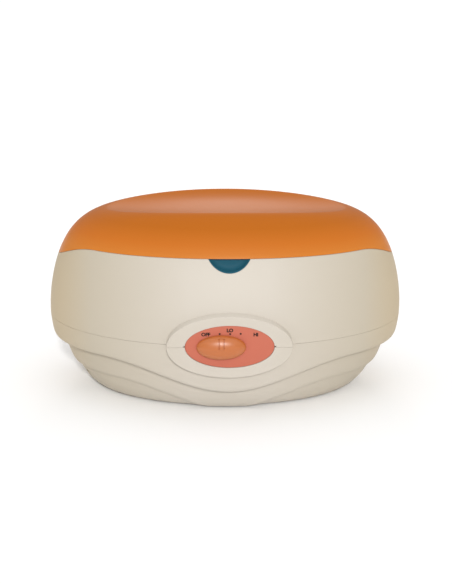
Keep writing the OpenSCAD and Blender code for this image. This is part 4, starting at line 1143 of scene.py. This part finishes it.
foot = add_rod(FOOT_D / 2, (0, 0, 0), FLOOR_Z + FOOT_SEAT, "Z", 48)
edit(foot)
pick("FACE", lambda face: face.normal.z < -0.9)
bpy.ops.mesh.inset(thickness=FOOT_RING * MM, depth=0)
bpy.ops.mesh.inset(thickness=0.6 * MM, depth=-FOOT_HOLLOW * MM)
leave_edit()
soften(foot, 0.5, 60, segments=3)
feet = place_copies("rubber_feet", foot, four_places(FOOT_X, FOOT_Y, 0))

# %% [markdown]
# ## Gasket, felt and nuts
# A silicone ring lies under the pan's flange and keeps wax out of the casing. A band of felt
# made of glass fibres keeps the pan's heat in; its outside is uneven, because it is wound by
# hand. The nuts are six-sided rods with both rims turned down.

# %% Gasket and felt
GASKET_H, GASKET_BULGE = 1.5, 0.5
FELT_GAP, FELT_T, FELT_STEPS, FELT_STEPS_IN = 0.3, 4, 12, 4
DENT = 0.35

gasket = loft("silicone_ring", [ledge_ring(grow, LEDGE_Z + up) for grow, up in (
    (LEDGE_IN, GASKET_H), (PAN_FLANGE, GASKET_H), (PAN_FLANGE + GASKET_BULGE, GASKET_H / 2),
    (PAN_FLANGE, 0), (LEDGE_IN, 0))], capped=False)
felt_low, felt_high = (corner[2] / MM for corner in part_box("insulation_wrap"))
felt_rings = []
for step in range(FELT_STEPS + 1):
    outside = pan_ring(PAN_SHEET + FELT_GAP + FELT_T,
                       mix(felt_low, felt_high, step / FELT_STEPS))
    # Two waves of different lengths round the band, shifted at each ring, look hand wound.
    dents = [DENT * math.sin(9 * t + 1.7 * step) * math.sin(5 * t + 2.3 * step) - DENT
             for t in TURNS]
    felt_rings.append([(x * (1 + d / (PAN_W / 2 + 5)), y * (1 + d / (PAN_D / 2 + 2)), z)
                       for (x, y, z), d in zip(outside, dents)])
felt_rings += [pan_ring(PAN_SHEET + FELT_GAP, mix(felt_high, felt_low, step / FELT_STEPS_IN))
               for step in range(FELT_STEPS_IN + 1)]
felt = loft("felt_band", felt_rings, capped=False)

# %% Nuts
NUT_ROUND = 0.07


def add_nut(across, height, bore):
    """A hexagon nut on the ground, measured across its flats."""
    radius = across / math.sqrt(3)
    nut = add_rod(radius, (0, 0, 0), height, "Z", 6)
    chamfer = add_rod(radius + 0.05, (0, 0, 0), height, "Z", 48)
    edit(chamfer)
    pick("EDGE", lambda edge: abs(edge.verts[0].co.z - edge.verts[1].co.z) < TINY)
    bpy.ops.mesh.bevel(offset=NUT_ROUND * across * MM, segments=3)
    leave_edit()
    combine(nut, chamfer, "INTERSECT")
    combine(nut, add_rod(bore / 2, (0, 0, -OVERLAP), height + 2 * OVERLAP, "Z", 32))
    smooth(nut)
    return nut


def place_nuts(name, node, across, stud, places):
    """Puts nuts on studs at some places, as low and as high as the node that they replace."""
    low, high = (corner[2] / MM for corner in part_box(node))
    return place_copies(name, add_nut(across, high - low, stud + 2 * THREAD_FIT),
                        [(x, y, low) for x, y, _ in places])


holding_nuts = place_nuts("holding_nuts", "hold_down_nuts", 8, STUD_D,
                          four_places(STUD_X, STUD_Y, 0))
bar_nuts = place_nuts("bar_nuts", "clamp_nuts", 7, CLAMP_STUD_D, two_places(CLAMP_X, 0, 0))

# %% [markdown]
# ## Plastics
# Most of the melter is injection moulded. The moulds are spark eroded, so the plastic comes out
# with a fine even grain. The real grain is finer than a pixel; it is drawn here about half a
# millimetre wide, just coarse enough to soften the highlights. Patterns read the piece's own
# coordinates and so move with it.

# %% Plastic
SPAN, GRAIN = 200, 0.6


def add_place(tree, stretch=(1, 1, 1)):
    """The place on the piece, in metres, stretched along its axes."""
    place = add_node(tree, "ShaderNodeTexCoord")
    moved = add_node(tree, "ShaderNodeMapping", {"Scale": stretch},
                     {"Vector": place.outputs["Object"]})
    return moved.outputs["Vector"]


def place_parts(tree):
    """How far a point lies from the middle, sideways, and how high, as shares of SPAN."""
    share = 1 / (SPAN * MM)
    parts = add_node(tree, "ShaderNodeSeparateXYZ",
                     links={"Vector": add_place(tree, (share, share, share))})
    reach = add_node(tree, "ShaderNodeMath", {"operation": "ABSOLUTE"},
                     {"Value": parts.outputs["X"]})
    return reach.outputs["Value"], parts.outputs["Z"]


def add_noise(tree, size, detail=2.0, stretch=(1, 1, 1)):
    """Soft noise with blotches of a size in millimetres. Returns the value from 0 to 1."""
    noise = add_node(tree, "ShaderNodeTexNoise", {"Scale": 1 / (size * MM), "Detail": detail},
                     {"Vector": add_place(tree, stretch)})
    return noise.outputs["Fac"]


def add_bump(tree, shader, height, depth):
    """Turns a pattern into bumps of a depth in millimetres."""
    bump = add_node(tree, "ShaderNodeBump", {"Distance": depth * MM}, {"Height": height})
    tree.links.new(bump.outputs["Normal"], shader.inputs["Normal"])


def add_range(tree, value, low, high, shader, socket, start=0.0, end=1.0):
    """Sends a pattern from start to end to a shader socket, as values from low to high."""
    scaled = add_node(tree, "ShaderNodeMapRange", {"From Min": start, "From Max": end,
                                                   "To Min": low, "To Max": high},
                      {"Value": value})
    tree.links.new(scaled.outputs["Result"], shader.inputs[socket])


def add_blend(tree, value, colours, shader, places=(0.0, 1.0)):
    """Sends a pattern to the base colour, through a ramp of colours."""
    ramp = add_node(tree, "ShaderNodeValToRGB", links={"Fac": value})
    while len(ramp.color_ramp.elements) < len(colours):
        ramp.color_ramp.elements.new(0.5)
    for element, where, colour in zip(ramp.color_ramp.elements, places, colours):
        element.position = where
        element.color = linear(colour)
    tree.links.new(ramp.outputs["Color"], shader.inputs["Base Color"])


def moulded(name, colour, roughness, specular=0.5, grain=0.02):
    """An injection-moulded plastic with an even spark-eroded grain."""
    material, tree, shader = new_material(name, colour, roughness, specular)
    add_bump(tree, shader, add_noise(tree, GRAIN), grain)
    return material, tree, shader


def milky(weight, depth, material, _, shader):
    """Lets light scatter under the surface of a finish, to a depth in millimetres."""
    shader.inputs["Subsurface Weight"].default_value = weight
    shader.inputs["Subsurface Scale"].default_value = depth * MM
    return material


finishes = {}

# Cream ABS of the casing. Its colour carries painted shade and a painted warm tint of light:
# darker and a touch more yellow towards the ends, where the frontal light falls off.
finishes["cream_plastic"], tree, shader = moulded("cream_abs_painted_end_shade", "D0C9BE", 0.5, 0.3)
add_blend(tree, place_parts(tree)[0], ("C6BEB2", "BAB09E", "BCA988"), shader, (0.2, 0.7, 0.95))
# Amber ABS of the lid, with a broad soft shine from polished moulds. Painted light makes it
# lighter towards its lower edge, where light comes in from below, and painted shade darker on
# top.
finishes["amber_plastic"], tree, shader = moulded("amber_abs_painted_light", "BA6412", 0.38, 0.13,
                                                  0.008)
add_blend(tree, place_parts(tree)[1], ("C7782F", "BF6A1F", "B26112"), shader, (0.81, 0.88, 0.95))
# Teal ABS of the recess, dull and flat beside the shiny lid.
finishes["teal_plastic"] = moulded("teal_abs_satin", "215A6C", 0.6, 0.2)[0]
# Coral ABS of the dial, satin, so the printing stays easy to read.
finishes["coral_plastic"] = moulded("coral_abs_satin", "BE6852", 0.5, 0.3)[0]
# Orange ABS of the cap, shinier where thumbs have rubbed it.
finishes["orange_plastic"], tree, shader = moulded("orange_abs_worn", "B86428", 0.36, 0.8, 0.004)
add_range(tree, add_noise(tree, 5), 0.33, 0.41, shader, "Roughness", 0.3, 0.7)
# Ivory polypropylene of the grille, slightly waxy.
finishes["ivory_plastic"] = milky(0.15, 1.5, *moulded("ivory_polypropylene", "E6E1CF", 0.42))
# Natural nylon of carriage and terminal block: milky, because light goes into it a little.
finishes["nylon"] = milky(0.3, 1.0, *moulded("natural_nylon", "ECEBE2", 0.45, 0.5, 0.01))
# Black polyamide of switch and inlet, with a grain that shows as a grey haze.
finishes["black_plastic"] = moulded("black_polyamide", "1C1C1D", 0.5, 0.5, 0.03)[0]
# Phenolic moulding of the thermostats, mottled by its wood-flour filler.
finishes["phenolic"], tree, shader = moulded("phenolic_moulding", "241A15", 0.35, 0.5, 0.01)
add_blend(tree, add_noise(tree, 1.2, 4), ("1B1310", "33241C"), shader, (0.35, 0.7))
print(len(finishes), "plastics")

# %% [markdown]
# ## Metals
# Sheet steel is zinc plated, screws and nuts are nickel plated, the pan is bare aluminium. What
# tells them apart is how sharp the highlight is and what breaks it up: crystals on zinc, fine
# draw lines on the pan, blotches of heat on the heater's tube.

# %% Metal
def metal(name, colour, roughness):
    """A bare or plated metal."""
    return new_material(name, colour, roughness, metallic=1.0)


# Drawn aluminium: fine upright lines from the drawing tool, dulled by washing.
finishes["pan_aluminium"], tree, shader = metal("drawn_aluminium", "C9CACB", 0.34)
add_bump(tree, shader, add_noise(tree, 0.8, 3, (1, 1, 0.04)), 0.01)
add_range(tree, add_noise(tree, 25, 4), 0.28, 0.42, shader, "Roughness", 0.3, 0.7)
# Zinc-plated sheet: a faint spangle of crystals with a bluish and a yellowish cast.
finishes["zinc_steel"], tree, shader = metal("zinc_plated_sheet", "B4B7BA", 0.36)
crystals = add_node(tree, "ShaderNodeTexVoronoi", {"Scale": 1 / (4 * MM)},
                    {"Vector": add_place(tree)})
grey = add_node(tree, "ShaderNodeSeparateXYZ", links={"Vector": crystals.outputs["Color"]})
add_blend(tree, grey.outputs["X"], ("AEB3B9", "BDBBB2"), shader)
add_range(tree, grey.outputs["Y"], 0.30, 0.42, shader, "Roughness")
# Nickel plate on screws, nuts and fuse: bright, with a light haze of handling.
finishes["plated_steel"], tree, shader = metal("nickel_plated_steel", "C8C4BC", 0.22)
add_range(tree, add_noise(tree, 3, 3), 0.16, 0.32, shader, "Roughness", 0.3, 0.7)
# Spring strip: cold rolled, with lines along its length.
finishes["spring_steel"], tree, shader = metal("rolled_spring_strip", "BFC1C4", 0.24)
add_bump(tree, shader, add_noise(tree, 0.3, 2, (0.03, 1, 1)), 0.004)
# The heater's steel tube, stained straw and blue-black by heat.
finishes["element_sheath"], tree, shader = metal("heat_stained_steel", "5A5654", 0.45)
add_blend(tree, add_noise(tree, 9, 4), ("3C3E46", "5B554E", "7A6648"), shader,
          (0.3, 0.5, 0.75))
# Brass of blades and clip, a little tarnished in blotches.
finishes["brass"], tree, shader = metal("rolled_brass", "D6B66A", 0.26)
add_blend(tree, add_noise(tree, 2.5, 4), ("C49F52", "DDBF74"), shader, (0.35, 0.65))
print(len(finishes), "finishes")

# %% [markdown]
# ## Soft things
# Rubber and felt hardly shine. The wires' sleeves are soft vinyl and have a dull gloss. The
# earth wire carries green and yellow stripes, as everywhere.

# %% Rubber, felt and wires
def soft(name, colour, roughness, grain_size, depth):
    """A matt soft material with a coarser grain."""
    material, tree, shader = new_material(name, colour, roughness, 0.3)
    add_bump(tree, shader, add_noise(tree, grain_size, 4), depth)
    return material, tree, shader


# Grey silicone of the gasket and black rubber of the feet, dusty and matt.
finishes["silicone_rubber"] = soft("grey_silicone", "8E8E8C", 0.6, 1.5, 0.02)[0]
finishes["foot_rubber"] = soft("black_rubber", "1A1A1A", 0.8, 0.8, 0.03)[0]
# Glass-fibre felt: short pale fibres, drawn as noise that is stretched along the band.
finishes["glass_wool"], tree, shader = soft("glass_fibre_felt", "E2DCC6", 0.95, 1.5, 0.3)
add_blend(tree, add_noise(tree, 1.2, 5, (0.3, 1, 1)), ("C9C2A8", "EEEADB"), shader, (0.3, 0.7))
for slot, name, colour in (("brown_wire", "brown_vinyl_sleeve", "5C3620"),
                           ("blue_wire", "blue_vinyl_sleeve", "24479A"),
                           ("black_wire", "black_vinyl_sleeve", "161616"),
                           ("red_wire", "red_vinyl_sleeve", "9C1E18")):
    # Each sleeve is one plain colour, so the eye can follow it from end to end.
    finishes[slot] = soft(name, colour, 0.4, 2, 0.01)[0]
finishes["earth_wire"], tree, shader = soft("striped_vinyl_sleeve", "6E9B2C", 0.4, 2, 0.01)
stripes = add_node(tree, "ShaderNodeTexWave", {"bands_direction": "DIAGONAL", "Scale": 60.0},
                   {"Vector": add_place(tree)})
add_blend(tree, stripes.outputs["Fac"], ("3F8A34", "D8C92E"), shader, (0.49, 0.51))
# Dark screen ink: flat, a little duller than the plate that it lies on.
ink = soft("screen_ink", "1F0F0B", 0.6, 0.5, 0.004)[0]
print(len(finishes), "finishes and the printing ink")

# %% [markdown]
# ## Putting it together
# Each piece rides on the body that it belongs to, stands for its CAD node, and takes the finish
# that the record names for that node. The CAD nodes that stay get the same finishes. They are
# the working parts inside, whose CAD shapes are already right.

# %% Bodies and finishes
stands_for = {
    lid: "lid", upper: "upper_shell", lower: "lower_shell", insert: "finger_insert",
    plate: "dial_plate", knob: "slider_knob", pan: "pan", gasket: "pan_gasket",
    grille: "guard_grille", felt: "insulation_wrap", inlet: "mains_inlet", blades: "inlet_pins",
    holding_nuts: "hold_down_nuts", bar_nuts: "clamp_nuts", case_screws: "case_screws",
    control_screws: "control_screws", inlet_screws: "inlet_screws",
    block_screws: "block_screws", feet: "feet"}
body_of = {node: body for body, members in frame["record"]["behaviour"]["bodies"].items()
           for node in members}
slot_of = {row["node"]: row["material_slot"] for row in frame["record"]["subparts"]}

for piece, node in stands_for.items():
    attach(piece, body_of[node])
    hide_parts(node)
    piece.data.materials.append(finishes[slot_of[node]])
for piece in prints:
    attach(piece, "casing")
    piece.data.materials.clear()
    piece.data.materials.append(ink)
kept = [node for node in slot_of if node not in stands_for.values()]
for node in kept:
    for holder in nodes[node].material_slots:
        holder.material = finishes[slot_of[node]]
print(len(stands_for), "pieces made,", len(kept), "CAD nodes kept")
